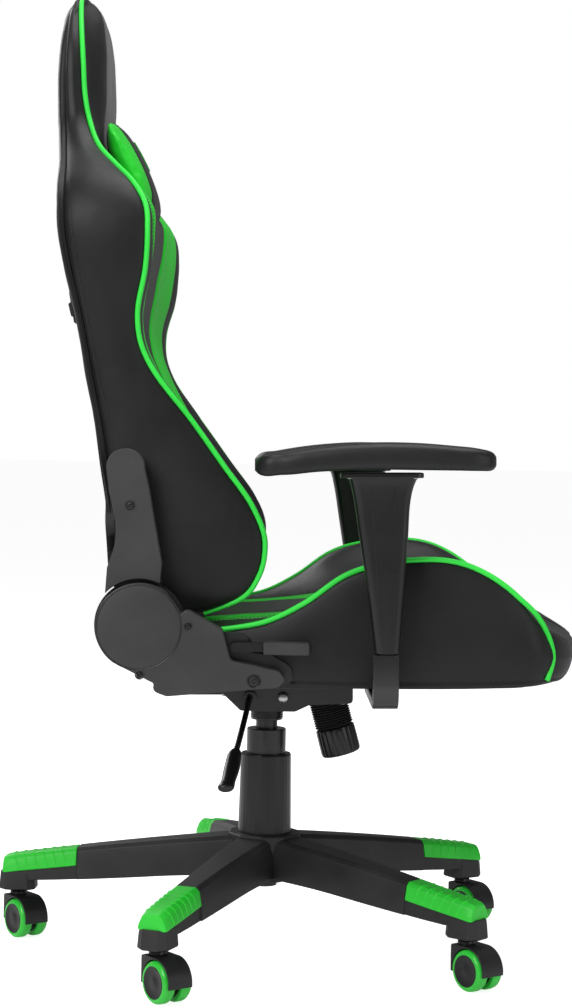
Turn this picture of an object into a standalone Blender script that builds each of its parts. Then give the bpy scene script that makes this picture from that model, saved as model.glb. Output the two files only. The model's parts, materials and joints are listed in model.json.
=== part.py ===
"""A racing-style swivel chair: five-leg base on twin-wheel casters, gas lift, rocking mechanism,
bucket seat, reclining backrest, height-adjustable T armrests and a strapped head pillow.

Lengths are metres, +Z is up and the chair faces +X. Everything is drawn round the column's
axis, and CHAIR_ORIGIN then moves the column so that the world origin is under the middle of
the chair's bounding box. The side that the levers are on, the sitter's right, is -Y.
"""

import math

import bmesh
import bpy
from mathutils import Matrix, Vector

GAP = 0.0003  # between two pieces that touch

# Where the column stands. The nose of the seat reaches further forward than the casters back.
CHAIR_ORIGIN = Vector((-0.0205, 0.0, 0.0))

# Base and casters
LEG_COUNT = 5
FIRST_LEG_ANGLE = math.radians(31.4)
CASTER_RADIUS = 0.323  # from the column to a caster's stem
SOCKET_BOTTOM = 0.0597
SOCKET_RADIUS = 0.0225
HUB_BOTTOM = 0.0840
HUB_TOP = 0.1457
CAP_WALL = 0.0022
CAP_START = 0.244
LEG_END = 0.3465
WHEEL_RADIUS = 0.025
WHEEL_INNER = 0.0045  # the wheel's inner face, from the caster's middle
WHEEL_OUTER = 0.0205
CASTER_TRAIL = 0.020
TRAIL_ANGLE = math.radians(-53.0)  # every caster trails this way at rest
AXLE_RADIUS = 0.004

# Column
TUBE_RADIUS = 0.0254
TUBE_BOTTOM = 0.0765
TUBE_TOP = 0.2805
CYLINDER_RADIUS = 0.014
CYLINDER_TOP = 0.3247
COVER_BOTTOM = 0.1462
COVER_TOP = 0.2482

# The seat and everything on it are drawn level, round BODY_PIN, and then hung on the rocking pin
# leaning back by REST_LEAN.
TILT_PIN = Vector((0.0197, 0.0, 0.3270))
BODY_PIN = Vector((0.0244, 0.0, 0.3463))
REST_LEAN = math.radians(1.21)

# Mechanism
HOUSING_TOP = 0.3740
HOUSING_HALF_WIDTH = 0.055
SHEET = 0.003
KNOB_TOP = Vector((0.083, 0.0, 0.3385))
KNOB_AXIS = Vector((0.25, 0.0, -0.968)).normalized()
BOOT_LENGTH = 0.037
KNOB_LENGTH = 0.037
LEVER_START = Vector((-0.0180, -0.0605, 0.346))

# Seat
SEAT_BOTTOM = 0.3800
PAN_BOTTOM = HOUSING_TOP + GAP
SEAT_HALF_WIDTH = 0.266

# Recliner
RECLINE_AXIS = Vector((-0.1474, 0.0, 0.4568))
DISC_RADIUS = 0.0514
ARM_PLATE = (0.2560, 0.2610)  # distances from the chair's middle plane
BOSS_END = 0.2680
SEAT_PLATE = (0.2685, 0.2738)
SIDE_COVER = (0.2743, 0.3000)
BACK_COVER = (0.2630, 0.2920)
RECLINE_LEVER_PIN = Vector((-0.030, 0.0, 0.4315))

# Armrests
ARM_X = 0.142
ARM_Y = 0.308
ARM_SPLIT = 0.4265  # where the sliding post meets the fixed bracket
POST_TOP = 0.6365

PARTS = None
TOOLS = None
MATERIALS = {}
PLACES = {}


# ---------------------------------------------------------------- helpers

def clear_scene():
    for obj in list(bpy.data.objects):
        bpy.data.objects.remove(obj)


def new_collection(name):
    made = bpy.data.collections.new(name)
    bpy.context.scene.collection.children.link(made)
    return made


def material(name, colour, roughness, metallic=0.0):
    made = bpy.data.materials.new(name)
    made.use_nodes = True
    shader = made.node_tree.nodes["Principled BSDF"]
    shader.inputs["Base Color"].default_value = (*colour, 1.0)
    shader.inputs["Roughness"].default_value = roughness
    shader.inputs["Metallic"].default_value = metallic
    MATERIALS[name] = made


def pivot(name, place, parent=None):
    """An empty on a joint's axis. Its place is given in the chair's own frame."""
    empty = bpy.data.objects.new(name, None)
    PARTS.objects.link(empty)
    place = Vector(place)
    empty.parent = parent
    empty.location = place - (PLACES[parent.name] if parent else Vector())
    PLACES[name] = place
    return empty


def add(name, data, material_name, parent, smooth=35.0):
    """Links a mesh or curve drawn in the chair's frame as the part called name."""
    obj = bpy.data.objects.new(name, data)
    PARTS.objects.link(obj)
    data.materials.append(MATERIALS[material_name])
    obj.parent = parent
    obj.location = -PLACES[parent.name]
    if smooth and isinstance(data, bpy.types.Mesh):
        data.shade_smooth()
        data.set_sharp_from_angle(angle=math.radians(smooth))
    return obj


def tool(name, data, parent):
    """A cutter or a piece to join, left out of the build."""
    obj = bpy.data.objects.new(name, data)
    TOOLS.objects.link(obj)
    obj.parent = parent
    obj.location = -PLACES[parent.name]
    obj.hide_render = True
    obj.display_type = "WIRE"
    return obj


def boolean(obj, other, operation="DIFFERENCE"):
    step = obj.modifiers.new(other.name, "BOOLEAN")
    step.operation = operation
    step.object = other


def bevel(obj, width, segments=2, angle=40.0):
    step = obj.modifiers.new("edges", "BEVEL")
    step.width = width
    step.segments = segments
    step.limit_method = "ANGLE"
    step.angle_limit = math.radians(angle)


def mesh_from(bm, name):
    mesh = bpy.data.meshes.new(name)
    bm.to_mesh(mesh)
    bm.free()
    return mesh


def box_mesh(low, high, name="box"):
    low, high = Vector(low), Vector(high)
    bm = bmesh.new()
    bmesh.ops.create_cube(bm, size=1.0)
    size = high - low
    bmesh.ops.scale(bm, vec=size, verts=bm.verts)
    bmesh.ops.translate(bm, vec=(low + high) / 2, verts=bm.verts)
    return mesh_from(bm, name)


def cylinder_mesh(start, end, radius, sides=24, end_radius=None, name="cylinder"):
    """A cylinder, or a cone if end_radius differs, between two points."""
    start, end = Vector(start), Vector(end)
    along = end - start
    bm = bmesh.new()
    bmesh.ops.create_cone(
        bm,
        cap_ends=True,
        segments=sides,
        radius1=radius,
        radius2=radius if end_radius is None else end_radius,
        depth=along.length,
    )
    turn = along.to_track_quat("Z", "Y").to_matrix().to_4x4()
    bmesh.ops.transform(bm, matrix=Matrix.Translation((start + end) / 2) @ turn, verts=bm.verts)
    return mesh_from(bm, name)


def arc(centre, radius, start, end, steps):
    """Points along an arc in a plane. Angles are degrees, anticlockwise."""
    points = []
    for i in range(steps + 1):
        a = math.radians(start + (end - start) * i / steps)
        points.append((centre[0] + radius * math.cos(a), centre[1] + radius * math.sin(a)))
    return points


def rounded(corners, steps=4):
    """A closed outline from (a, b, radius) corners, each rounded to its radius."""
    outline = []
    for i, (a, b, radius) in enumerate(corners):
        here = Vector((a, b))
        before = Vector(corners[i - 1][:2])
        after = Vector(corners[(i + 1) % len(corners)][:2])
        if radius <= 0:
            outline.append((a, b))
            continue
        u, v = (before - here).normalized(), (after - here).normalized()
        half = u.angle(v) / 2
        reach = min(
            radius / math.tan(half), 0.48 * (before - here).length, 0.48 * (after - here).length,
        )
        for k in range(steps + 1):
            t = k / steps
            point = (1 - t) ** 2 * (here + u * reach) + 2 * t * (1 - t) * here + t**2 * (here + v * reach)
            outline.append(tuple(point))
    return outline


def outline_mesh(outline, low, high, plane="XZ", name="plate"):
    """A flat outline between two distances along the plane's normal, low < high."""
    curve = bpy.data.curves.new(name, "CURVE")
    curve.dimensions = "2D"
    curve.fill_mode = "BOTH"
    curve.extrude = (high - low) / 2
    spline = curve.splines.new("POLY")
    spline.points.add(len(outline) - 1)
    for point, (a, b) in zip(spline.points, outline):
        point.co = (a, b, 0.0, 1.0)
    spline.use_cyclic_u = True
    holder = bpy.data.objects.new(name, curve)
    TOOLS.objects.link(holder)
    bpy.context.view_layer.update()
    mesh = bpy.data.meshes.new_from_object(holder.evaluated_get(bpy.context.evaluated_depsgraph_get()))
    bpy.data.objects.remove(holder)
    middle = (low + high) / 2
    turn = {
        "XZ": Matrix(((1, 0, 0, 0), (0, 0, -1, middle), (0, 1, 0, 0), (0, 0, 0, 1))),
        "YZ": Matrix(((0, 0, 1, middle), (1, 0, 0, 0), (0, 1, 0, 0), (0, 0, 0, 1))),
        "XY": Matrix(((1, 0, 0, 0), (0, 1, 0, 0), (0, 0, 1, middle), (0, 0, 0, 1))),
    }[plane]
    bm = bmesh.new()
    bm.from_mesh(mesh)
    bmesh.ops.remove_doubles(bm, verts=bm.verts, dist=1e-6)
    bmesh.ops.transform(bm, matrix=turn, verts=bm.verts)
    bmesh.ops.dissolve_limit(bm, angle_limit=0.01, verts=bm.verts, edges=bm.edges)
    bmesh.ops.recalc_face_normals(bm, faces=bm.faces)
    bpy.data.meshes.remove(mesh)
    return mesh_from(bm, name)


def turned(name, profile, material_name, parent, steps=32, closed=False, frame=None):
    """A turned shape. The (radius, height) profile runs down its outer side."""
    mesh = bpy.data.meshes.new(name)
    count = len(profile)
    edges = [(i, i + 1) for i in range(count - 1)]
    if closed:
        edges.append((count - 1, 0))
    mesh.from_pydata([(r, 0.0, h) for r, h in profile], edges, [])
    obj = add(name, mesh, material_name, parent, smooth=None)
    if frame is not None:
        obj.matrix_local = Matrix.Translation(-PLACES[parent.name]) @ frame
    screw = obj.modifiers.new("turn", "SCREW")
    screw.axis = "Z"
    screw.steps = steps
    screw.render_steps = steps
    screw.use_smooth_shade = True
    screw.use_merge_vertices = True
    screw.merge_threshold = 0.00005
    return obj


def smooth_path(points, count):
    """count points evenly along the Catmull-Rom curve through the given points."""
    points = [Vector(p) for p in points]
    fine = []
    for i in range(len(points) - 1):
        a, b, c, d = points[max(i - 1, 0)], points[i], points[i + 1], points[min(i + 2, len(points) - 1)]
        for k in range(16):
            t = k / 16
            fine.append(
                0.5 * (
                    2 * b + (c - a) * t + (2 * a - 5 * b + 4 * c - d) * t**2 + (3 * b - a - 3 * c + d) * t**3
                )
            )
    fine.append(points[-1])
    lengths = [0.0]
    for a, b in zip(fine, fine[1:]):
        lengths.append(lengths[-1] + (b - a).length)
    out = []
    at = 0
    for k in range(count):
        want = lengths[-1] * k / (count - 1)
        while at < len(fine) - 2 and lengths[at + 1] < want:
            at += 1
        share = (want - lengths[at]) / max(lengths[at + 1] - lengths[at], 1e-9)
        out.append(fine[at].lerp(fine[at + 1], min(max(share, 0.0), 1.0)))
    return out


def tube_mesh(path, radius, resolution=2, name="tube"):
    """A round tube along a path, as a closed mesh."""
    curve = bpy.data.curves.new(name, "CURVE")
    curve.dimensions = "3D"
    curve.bevel_depth = radius
    curve.bevel_resolution = resolution
    curve.use_fill_caps = True
    spline = curve.splines.new("POLY")
    spline.points.add(len(path) - 1)
    for point, place in zip(spline.points, path):
        point.co = (*place, 1.0)
    holder = bpy.data.objects.new(name, curve)
    TOOLS.objects.link(holder)
    bpy.context.view_layer.update()
    mesh = bpy.data.meshes.new_from_object(holder.evaluated_get(bpy.context.evaluated_depsgraph_get()))
    bpy.data.objects.remove(holder)
    bm = bmesh.new()
    bm.from_mesh(mesh)
    bmesh.ops.remove_doubles(bm, verts=bm.verts, dist=1e-6)
    bmesh.ops.recalc_face_normals(bm, faces=bm.faces)
    bpy.data.meshes.remove(mesh)
    return mesh_from(bm, name)


def loft_mesh(rings, name="loft"):
    """A closed skin over rings of points that all have the same count."""
    bm = bmesh.new()
    made = [[bm.verts.new(p) for p in ring] for ring in rings]
    size = len(made[0])
    for a, b in zip(made, made[1:]):
        for i in range(size):
            bm.faces.new((a[i], a[(i + 1) % size], b[(i + 1) % size], b[i]))
    bm.faces.new(list(reversed(made[0])))
    bm.faces.new(made[-1])
    bmesh.ops.recalc_face_normals(bm, faces=bm.faces)
    return mesh_from(bm, name)


def at_angle(angle):
    return Matrix.Rotation(angle, 4, "Z")


# ---------------------------------------------------------------- base

# Distance from the column, underside, width at the underside, width at the top
LEG_STATIONS = (
    (0.030, 0.0920, 0.058, 0.049),
    (0.110, 0.0880, 0.051, 0.043),
    (0.180, 0.0820, 0.046, 0.038),
    (CAP_START - 0.0010, 0.0770, 0.042, 0.035),
)
END_STATIONS = (
    (CAP_START - 0.0004, 0.0770, 0.0420, 0.0350),
    (0.310, 0.0735, 0.0405, 0.0325),
    (0.338, 0.0735, 0.0380, 0.0290),
    (LEG_END, 0.0750, 0.0340, 0.0235),
)


def leg_height(radius):
    """The top of a leg at that distance from the column."""
    t = (radius - 0.03) / (LEG_END - 0.03)
    return 0.1430 - 0.0307 * t - 0.0102 * t * t


def leg_ring(station, inset=0.0, floor=None):
    """A leg's cross-section, optionally shrunk, and with its underside moved to the floor height."""
    radius, low, wide_low, wide_high = station
    high = leg_height(radius) - (0.004 if radius == LEG_END else 0.0)
    half_low, half_high = wide_low / 2, wide_high / 2
    half_crease = half_low - 0.1 * (half_low - half_high)
    crease = low + 0.50 * (high - low)
    half_floor = half_low
    if floor is None:
        floor = low
    elif floor > low:
        half_floor = half_low + (half_crease - half_low) * (floor - low) / (crease - low)
    chamfer = 0.005 + 0.41 * inset
    half = [
        (half_floor - inset, floor),
        (half_crease - inset, crease),
        (half_high - inset, high - chamfer),
        (half_high - chamfer, high - inset),
    ]
    if radius > 0.33:
        radius -= inset
    return [(radius, y, z) for y, z in half] + [(radius, -y, z) for y, z in reversed(half)]


def leg_mesh():
    rings = [leg_ring(s) for s in LEG_STATIONS]
    rings += [leg_ring(s, CAP_WALL + GAP) for s in END_STATIONS]
    return loft_mesh(rings, "leg")


def cap_mesh():
    floors = (0.0950, 0.0865, 0.0825, 0.0825)
    starts = [(CAP_START, *END_STATIONS[0][1:])] + list(END_STATIONS[1:])
    return loft_mesh([leg_ring(s, 0.0, floor) for s, floor in zip(starts, floors)], "cap")


def cap_hollow_mesh():
    starts = [(CAP_START - 0.010, *END_STATIONS[0][1:])] + list(END_STATIONS[1:])
    return loft_mesh([leg_ring(s, CAP_WALL, 0.062) for s in starts], "cap_hollow")


def build_base(root):
    profile = [
        (0, HUB_TOP),
        (0.041, HUB_TOP),
        (0.045, HUB_TOP - 0.004),
        (0.046, HUB_TOP - 0.014),
        (0.040, 0.0905),
        (0.033, HUB_BOTTOM),
        (0, HUB_BOTTOM),
    ]
    star = turned("base_star", profile, "base_plastic", root, steps=30)
    for number in range(LEG_COUNT):
        turn = at_angle(FIRST_LEG_ANGLE - number * 2 * math.pi / LEG_COUNT)
        leg = tool(f"leg_{number + 1}", leg_mesh(), root)
        leg.data.transform(turn)
        boolean(star, leg, "UNION")
        socket = cylinder_mesh(
            (CASTER_RADIUS, 0, SOCKET_BOTTOM), (CASTER_RADIUS, 0, 0.0810), SOCKET_RADIUS, 14,
            SOCKET_RADIUS - 0.001,
        )
        socket_tool = tool(f"socket_{number + 1}", socket, root)
        socket_tool.data.transform(turn @ Matrix.Scale(0.93, 4, (0, 1, 0)))
        boolean(star, socket_tool, "UNION")
        hole = cylinder_mesh((CASTER_RADIUS, 0, 0.05), (CASTER_RADIUS, 0, 0.0900), 0.0058, 12)
        hole_tool = tool(f"stem_hole_{number + 1}", hole, root)
        hole_tool.data.transform(turn)
        boolean(star, hole_tool)
    bore = cylinder_mesh((0, 0, 0.06), (0, 0, 0.17), TUBE_RADIUS + 2 * GAP, 28)
    boolean(star, tool("hub_bore", bore, root))

    for number in range(LEG_COUNT):
        turn = at_angle(FIRST_LEG_ANGLE - number * 2 * math.pi / LEG_COUNT)
        hollow = tool(f"cap_hollow_{number + 1}", cap_hollow_mesh(), root)
        hollow.data.transform(turn)
        mesh = cap_mesh()
        mesh.transform(turn)
        cap = add(f"foot_cap_{number + 1}", mesh, "green_plastic", root)
        boolean(cap, hollow)


def build_casters(root):
    for number in range(LEG_COUNT):
        angle = FIRST_LEG_ANGLE - number * 2 * math.pi / LEG_COUNT
        stem = Vector((CASTER_RADIUS * math.cos(angle), CASTER_RADIUS * math.sin(angle), 0))
        # The caster is drawn with its axle along local Y and its trail along local +X.
        place = Matrix.Translation(stem) @ at_angle(TRAIL_ANGLE)
        swivel = pivot(f"caster_{number + 1}_swivel", stem, root)
        axle_place = place @ Vector((CASTER_TRAIL, 0, WHEEL_RADIUS))
        build_hood(number + 1, place, swivel, root)
        axle = cylinder_mesh(
            place @ Vector((CASTER_TRAIL, -WHEEL_OUTER + 0.003, WHEEL_RADIUS)),
            place @ Vector((CASTER_TRAIL, WHEEL_OUTER - 0.003, WHEEL_RADIUS)),
            AXLE_RADIUS,
            12,
        )
        add(f"caster_axle_{number + 1}", axle, "steel", swivel)
        for side, label in ((-1, "a"), (1, "b")):
            spin = pivot(f"wheel_{number + 1}{label}_spin", axle_place, swivel)
            # The turned profile's axis lies along the axle, outer face outwards.
            outwards = Matrix.Rotation(-side * math.pi / 2, 4, "X")
            frame = Matrix.Translation(axle_place) @ at_angle(TRAIL_ANGLE) @ outwards
            profile = [
                (0, WHEEL_OUTER),
                (0.0210, WHEEL_OUTER),
                (WHEEL_RADIUS, WHEEL_OUTER - 0.005),
                (WHEEL_RADIUS, WHEEL_INNER + 0.003),
                (WHEEL_RADIUS - 0.002, WHEEL_INNER),
                (AXLE_RADIUS + GAP, WHEEL_INNER),
                (AXLE_RADIUS + GAP, WHEEL_OUTER - 0.0025),
                (0, WHEEL_OUTER - 0.0025),
            ]
            turned(f"wheel_{number + 1}{label}", profile, "wheel_plastic", spin, steps=20, frame=frame)


def build_hood(number, place, swivel, root):
    """Fender, middle web, top boss and stem of a twin-wheel caster."""
    centre = (CASTER_TRAIL, WHEEL_RADIUS)
    outer, inner = WHEEL_RADIUS + 0.0030, WHEEL_RADIUS + 0.0012
    crown = WHEEL_RADIUS + outer
    # Round over the wheels, squared off where it meets the stem.
    fender = arc(centre, outer, -8, 90, 7) + [
        (-0.0070, crown), (-0.0095, crown - 0.0025), (-0.0095, 0.020),
    ]
    fender += arc(centre, inner, 192, -8, 12)
    hood = add(f"caster_hood_{number}", outline_mesh(fender, -0.0168, 0.0168), "wheel_plastic", swivel)
    web = arc(centre, (outer + inner) / 2, -4, 190, 12) + [
        (CASTER_TRAIL - 0.006, 0.013), (CASTER_TRAIL + 0.008, 0.013),
    ]
    web = outline_mesh(web, -0.0035, 0.0035)
    boss = cylinder_mesh((0, 0, 0.040), (0, 0, SOCKET_BOTTOM - 0.0012), 0.0105, 14)
    stem = cylinder_mesh((0, 0, 0.050), (0, 0, 0.0885), 0.0054, 12)
    space = WHEEL_RADIUS + 0.0007
    wheel_space = cylinder_mesh(
        (CASTER_TRAIL, 0.0037, WHEEL_RADIUS), (CASTER_TRAIL, 0.0190, WHEEL_RADIUS), space, 16,
    )
    other_space = cylinder_mesh(
        (CASTER_TRAIL, -0.0190, WHEEL_RADIUS), (CASTER_TRAIL, -0.0037, WHEEL_RADIUS), space, 16,
    )
    hole = cylinder_mesh(
        (CASTER_TRAIL, -0.01, WHEEL_RADIUS), (CASTER_TRAIL, 0.01, WHEEL_RADIUS),
        AXLE_RADIUS + 2 * GAP, 12,
    )
    # Keeps the boss off the wheels, which turn inside the fender.
    space = WHEEL_RADIUS + 0.0012
    wheel_space = cylinder_mesh(
        (CASTER_TRAIL, 0.0037, WHEEL_RADIUS), (CASTER_TRAIL, 0.0190, WHEEL_RADIUS), space, 16,
    )
    other_space = cylinder_mesh(
        (CASTER_TRAIL, -0.0190, WHEEL_RADIUS), (CASTER_TRAIL, -0.0037, WHEEL_RADIUS), space, 16,
    )
    hood.data.transform(place)
    for label, mesh, operation in (
        ("web", web, "UNION"),
        ("boss", boss, "UNION"),
        ("space_a", wheel_space, "DIFFERENCE"),
        ("space_b", other_space, "DIFFERENCE"),
        ("stem", stem, "UNION"),
        ("hole", hole, "DIFFERENCE"),
    ):
        mesh.transform(place)
        boolean(hood, tool(f"hood_{label}_{number}", mesh, root), operation)


# ---------------------------------------------------------------- column and mechanism

def build_column(root, lift):
    turned(
        "column_sleeve",
        [
            (0.0318, COVER_TOP), (0.0326, COVER_TOP - 0.002), (0.0345, COVER_BOTTOM),
            (0.0320, COVER_BOTTOM), (0.0300, COVER_TOP - 0.003),
            (TUBE_RADIUS + GAP, COVER_TOP - 0.003), (TUBE_RADIUS + GAP, COVER_TOP),
        ],
        "black_plastic",
        root,
        closed=True,
    )
    bore = CYLINDER_RADIUS + 0.0004
    turned(
        "gas_lift_tube",
        [
            (TUBE_RADIUS - 0.001, TUBE_TOP), (TUBE_RADIUS, TUBE_TOP - 0.001), (TUBE_RADIUS, 0.084),
            (0.0175, 0.082), (0.0175, TUBE_BOTTOM), (0.0056, TUBE_BOTTOM), (0.0056, 0.084),
            (bore, 0.084), (bore, TUBE_TOP),
        ],
        "black_metal",
        root,
        closed=True,
    )
    turned(
        "piston_rod",
        [
            (0, 0.270), (0.0052, 0.270), (0.0052, 0.0875), (0.0115, 0.0875), (0.0115, 0.0845),
            (0.0052, 0.0845), (0.0052, 0.0770), (0, 0.0770),
        ],
        "steel",
        root,
        steps=20,
    )
    turned(
        "gas_cylinder",
        [
            (0, CYLINDER_TOP), (0.0125, CYLINDER_TOP), (CYLINDER_RADIUS, 0.290),
            (CYLINDER_RADIUS, 0.100), (0.0058, 0.100), (0.0058, 0.305), (0, 0.305),
        ],
        "black_metal",
        lift,
    )


def build_socket(swivel, root):
    """The cup that grips the column, with the bracket that carries the rocking pin."""
    cup = turned(
        "column_socket",
        [
            (0, 0.3307), (0.0190, 0.3307), (0.0200, 0.3107), (0.0200, 0.3027), (0.0178, 0.3007),
            (0.0178, 0.2967), (0.0205, 0.2957), (0.0205, 0.2922), (0, 0.2922),
        ],
        "black_metal",
        swivel,
        steps=28,
    )
    x, z = TILT_PIN.x, TILT_PIN.z
    side = [
        (-0.046, -0.0163, 0.004), (0.0016, -0.0123, 0.006), (0.0156, -0.0063, 0.008),
        (0.0136, 0.0097, 0.008), (-0.0144, 0.0097, 0.004), (-0.046, 0.0047, 0.004),
    ]
    side = rounded([(x + a, z + b, r) for a, b, r in side])
    bracket = tool("socket_bracket", outline_mesh(side, -0.030, 0.030), root)
    boolean(cup, bracket, "UNION")
    bore = tool(
        "socket_bore",
        cylinder_mesh((0, 0, 0.28), (0, 0, CYLINDER_TOP + 0.001), CYLINDER_RADIUS + 2 * GAP, 28),
        root,
    )
    boolean(cup, bore)
    hole = cylinder_mesh(TILT_PIN + Vector((0, -0.1, 0)), TILT_PIN + Vector((0, 0.1, 0)), 0.0053, 20)
    boolean(cup, tool("socket_pin_hole", hole, root))
    pin = cylinder_mesh(
        TILT_PIN + Vector((0, -0.0590, 0)), TILT_PIN + Vector((0, 0.0590, 0)), 0.0050, 20,
    )
    head = cylinder_mesh(
        TILT_PIN + Vector((0, -0.0615, 0)), TILT_PIN + Vector((0, -0.0560, 0)), 0.0062, 20,
    )
    shaft = add("rocking_pin", pin, "steel", swivel)
    boolean(shaft, tool("pin_head", head, root), "UNION")


def housing_outline(inset=0.0):
    top = HOUSING_TOP - inset
    low = 0.0 if inset == 0 else -0.03
    return rounded(
        [
            (-0.066 + inset, top, 0.002),
            (-0.060 + inset, 0.358 + low, 0.010),
            (-0.030 + inset, 0.329 + low, 0.006),
            (0.040, 0.3275 + low, 0.010),
            (0.058, 0.336 + low, 0.006),
            (0.114 - inset, 0.338 + low, 0.006),
            (0.114 - inset, top, 0.002),
        ]
    )


def build_mechanism(tilt):
    half = HOUSING_HALF_WIDTH
    housing = add("tilt_housing", outline_mesh(housing_outline(), -half, half), "black_metal", tilt)
    hollow = outline_mesh(housing_outline(SHEET), -half + SHEET, half - SHEET)
    boolean(housing, tool("housing_hollow", hollow, tilt))
    hole = cylinder_mesh(BODY_PIN + Vector((0, -0.1, 0)), BODY_PIN + Vector((0, 0.1, 0)), 0.0054, 20)
    boolean(housing, tool("housing_pin_hole", hole, tilt))

    pan_outline = rounded(
        [(-0.045, -0.212, 0.03), (0.325, -0.205, 0.04), (0.325, 0.205, 0.04), (-0.045, 0.212, 0.03)]
    )
    pan = add(
        "seat_pan", outline_mesh(pan_outline, PAN_BOTTOM, SEAT_BOTTOM - GAP, "XY"), "black_metal",
        tilt,
    )
    bevel(pan, 0.0012, 1)

    # The spring boot hangs from the housing's floor, and the knob turns below it.
    axis_frame = Matrix.Translation(KNOB_TOP) @ (-KNOB_AXIS).to_track_quat("Z", "Y").to_matrix().to_4x4()
    ribs = 5
    boot = [(0, -0.0035)]
    for rib in range(ribs):
        top = -0.0035 - (BOOT_LENGTH - 0.0035) * rib / ribs
        pitch = (BOOT_LENGTH - 0.0035) / ribs
        boot += [(0.0225, top), (0.0250, top - 0.35 * pitch), (0.0250, top - 0.65 * pitch)]
    boot += [(0.0225, -BOOT_LENGTH), (0, -BOOT_LENGTH)]
    turned("spring_boot", boot, "rubber", tilt, steps=20, frame=axis_frame)


def build_knob(knob):
    frame = Matrix.Translation(KNOB_TOP) @ (-KNOB_AXIS).to_track_quat("Z", "Y").to_matrix().to_4x4()
    top, bottom = -BOOT_LENGTH - 0.0006, -BOOT_LENGTH - KNOB_LENGTH
    turned(
        "tension_knob",
        [
            (0, top), (0.0240, top), (0.0254, top - 0.002), (0.0262, bottom + 0.004),
            (0.0245, bottom), (0, bottom),
        ],
        "black_plastic",
        knob,
        steps=24,
        frame=frame,
    )


def build_height_lever(slider, lever):
    start = LEVER_START
    bush = cylinder_mesh(start + Vector((0, 0.0045, 0)), start + Vector((0, -0.0075, 0)), 0.0085, 20)
    add("lock_bush", bush, "black_metal", slider)
    path = smooth_path(
        [
            start + Vector((0, -0.0092, 0)), start + Vector((-0.001, -0.022, 0)),
            (-0.0240, -0.110, 0.3270), (-0.0315, -0.162, 0.3035), (-0.0356, -0.182, 0.2935),
        ],
        14,
    )
    add("height_lever_rod", tube_mesh(path, 0.0038, 1), "steel", lever)

    # The grip's axis carries on from the rod and curls at its end.
    stations = (
        (-0.0356, -0.1835, 0.2925, 0.0060, 0.0055), (-0.0368, -0.190, 0.2892, 0.0070, 0.0060),
        (-0.0398, -0.212, 0.2768, 0.0078, 0.0050), (-0.0435, -0.232, 0.2660, 0.0070, 0.0045),
        (-0.0462, -0.246, 0.2600, 0.0080, 0.0050),
    )
    rings = []
    for x, y, z, wide, thick in stations:
        ring = []
        for k in range(8):
            a = math.radians(22.5 + 45 * k)
            ring.append(
                (x + wide * math.cos(a), y - thick * 0.45 * math.sin(a), z + thick * math.sin(a))
            )
        rings.append(ring)
    add("height_lever_grip", loft_mesh(rings, "grip"), "black_plastic", lever)


# ---------------------------------------------------------------- seat

# x, half width, top of the side edge, top of the bolster, top of the middle
SEAT_SECTIONS = (
    (-0.1240, 0.226, 0.440, 0.4430, 0.440),
    (-0.0800, 0.250, 0.446, 0.4490, 0.450),
    (-0.0390, 0.258, 0.4506, 0.4536, 0.4535),
    (0.0050, 0.263, 0.4600, 0.4590, 0.456),
    (0.0480, 0.266, 0.4815, 0.4805, 0.459),
    (0.0960, 0.266, 0.5140, 0.5130, 0.463),
    (0.1450, 0.266, 0.5285, 0.5275, 0.467),
    (0.1950, 0.266, 0.5325, 0.5315, 0.471),
    (0.2470, 0.266, 0.5230, 0.5220, 0.474),
    (0.2970, 0.264, 0.4910, 0.4900, 0.472),
    (0.3300, 0.256, 0.4530, 0.4560, 0.462),
    (0.3580, 0.226, 0.4370, 0.4400, 0.449),
    (0.3720, 0.190, 0.4290, 0.4330, 0.440),
    (0.3840, 0.125, 0.4240, 0.4275, 0.4315),
    (0.3940, 0.060, 0.4180, 0.4210, 0.4235),
)


def seat_ring(x, wide, side_top, crest, middle):
    nose = max(0.0, (x - 0.355) / 0.039)
    low = SEAT_BOTTOM + 0.034 * nose**1.5
    narrow = min(1.0, wide / 0.240)
    half = [
        (0.0, middle),
        (0.110 * narrow, middle),
        (0.150 * narrow, middle + 0.12 * (crest - middle)),
        (wide - 0.062 * narrow, middle + 0.62 * (crest - middle)),
        (wide - 0.034 * narrow, crest),
        (wide - 0.010 * narrow, side_top + 0.35 * (crest - side_top)),
        (wide, side_top),
        (wide, (side_top + low) / 2),
        (wide - 0.004 * narrow, low),
        (0.120 * narrow, low),
        (0.0, low),
    ]
    right = [(x, -y, z) for y, z in half]
    left = [(x, y, z) for y, z in reversed(half[1:-1])]
    return right + left


def build_seat(tilt):
    add(
        "seat_cushion", loft_mesh([seat_ring(*s) for s in SEAT_SECTIONS], "seat"), "black_leather",
        tilt, smooth=60,
    )


# ---------------------------------------------------------------- recliner

def side_cover_outline(inset=0.0):
    """The lower hinge cover: a disc on the pivot with an arm that runs forward."""
    axis = (RECLINE_AXIS.x, RECLINE_AXIS.z)
    radius = DISC_RADIUS - inset
    arm = [
        (-0.0950 - inset, 0.4795 - inset, 0.01),
        (-0.0497 - inset, 0.4536 - inset, 0.004),
        (-0.0395 - inset, 0.4170 - inset * 0.6, 0.008),
        (0.0165 - inset * 0.4, 0.4055 - inset, 0.010),
        (0.0250 - inset, 0.3945, 0.008),
        (0.0150 - inset, 0.3855 + inset, 0.008),
        (-0.1150, 0.3755 + inset, 0.010),
        (-0.1330 + inset * 0.5, 0.3820 + inset, 0.010),
    ]
    return arc(axis, radius, 234, 52, 14) + rounded(arm, 3)[1:]


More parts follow.
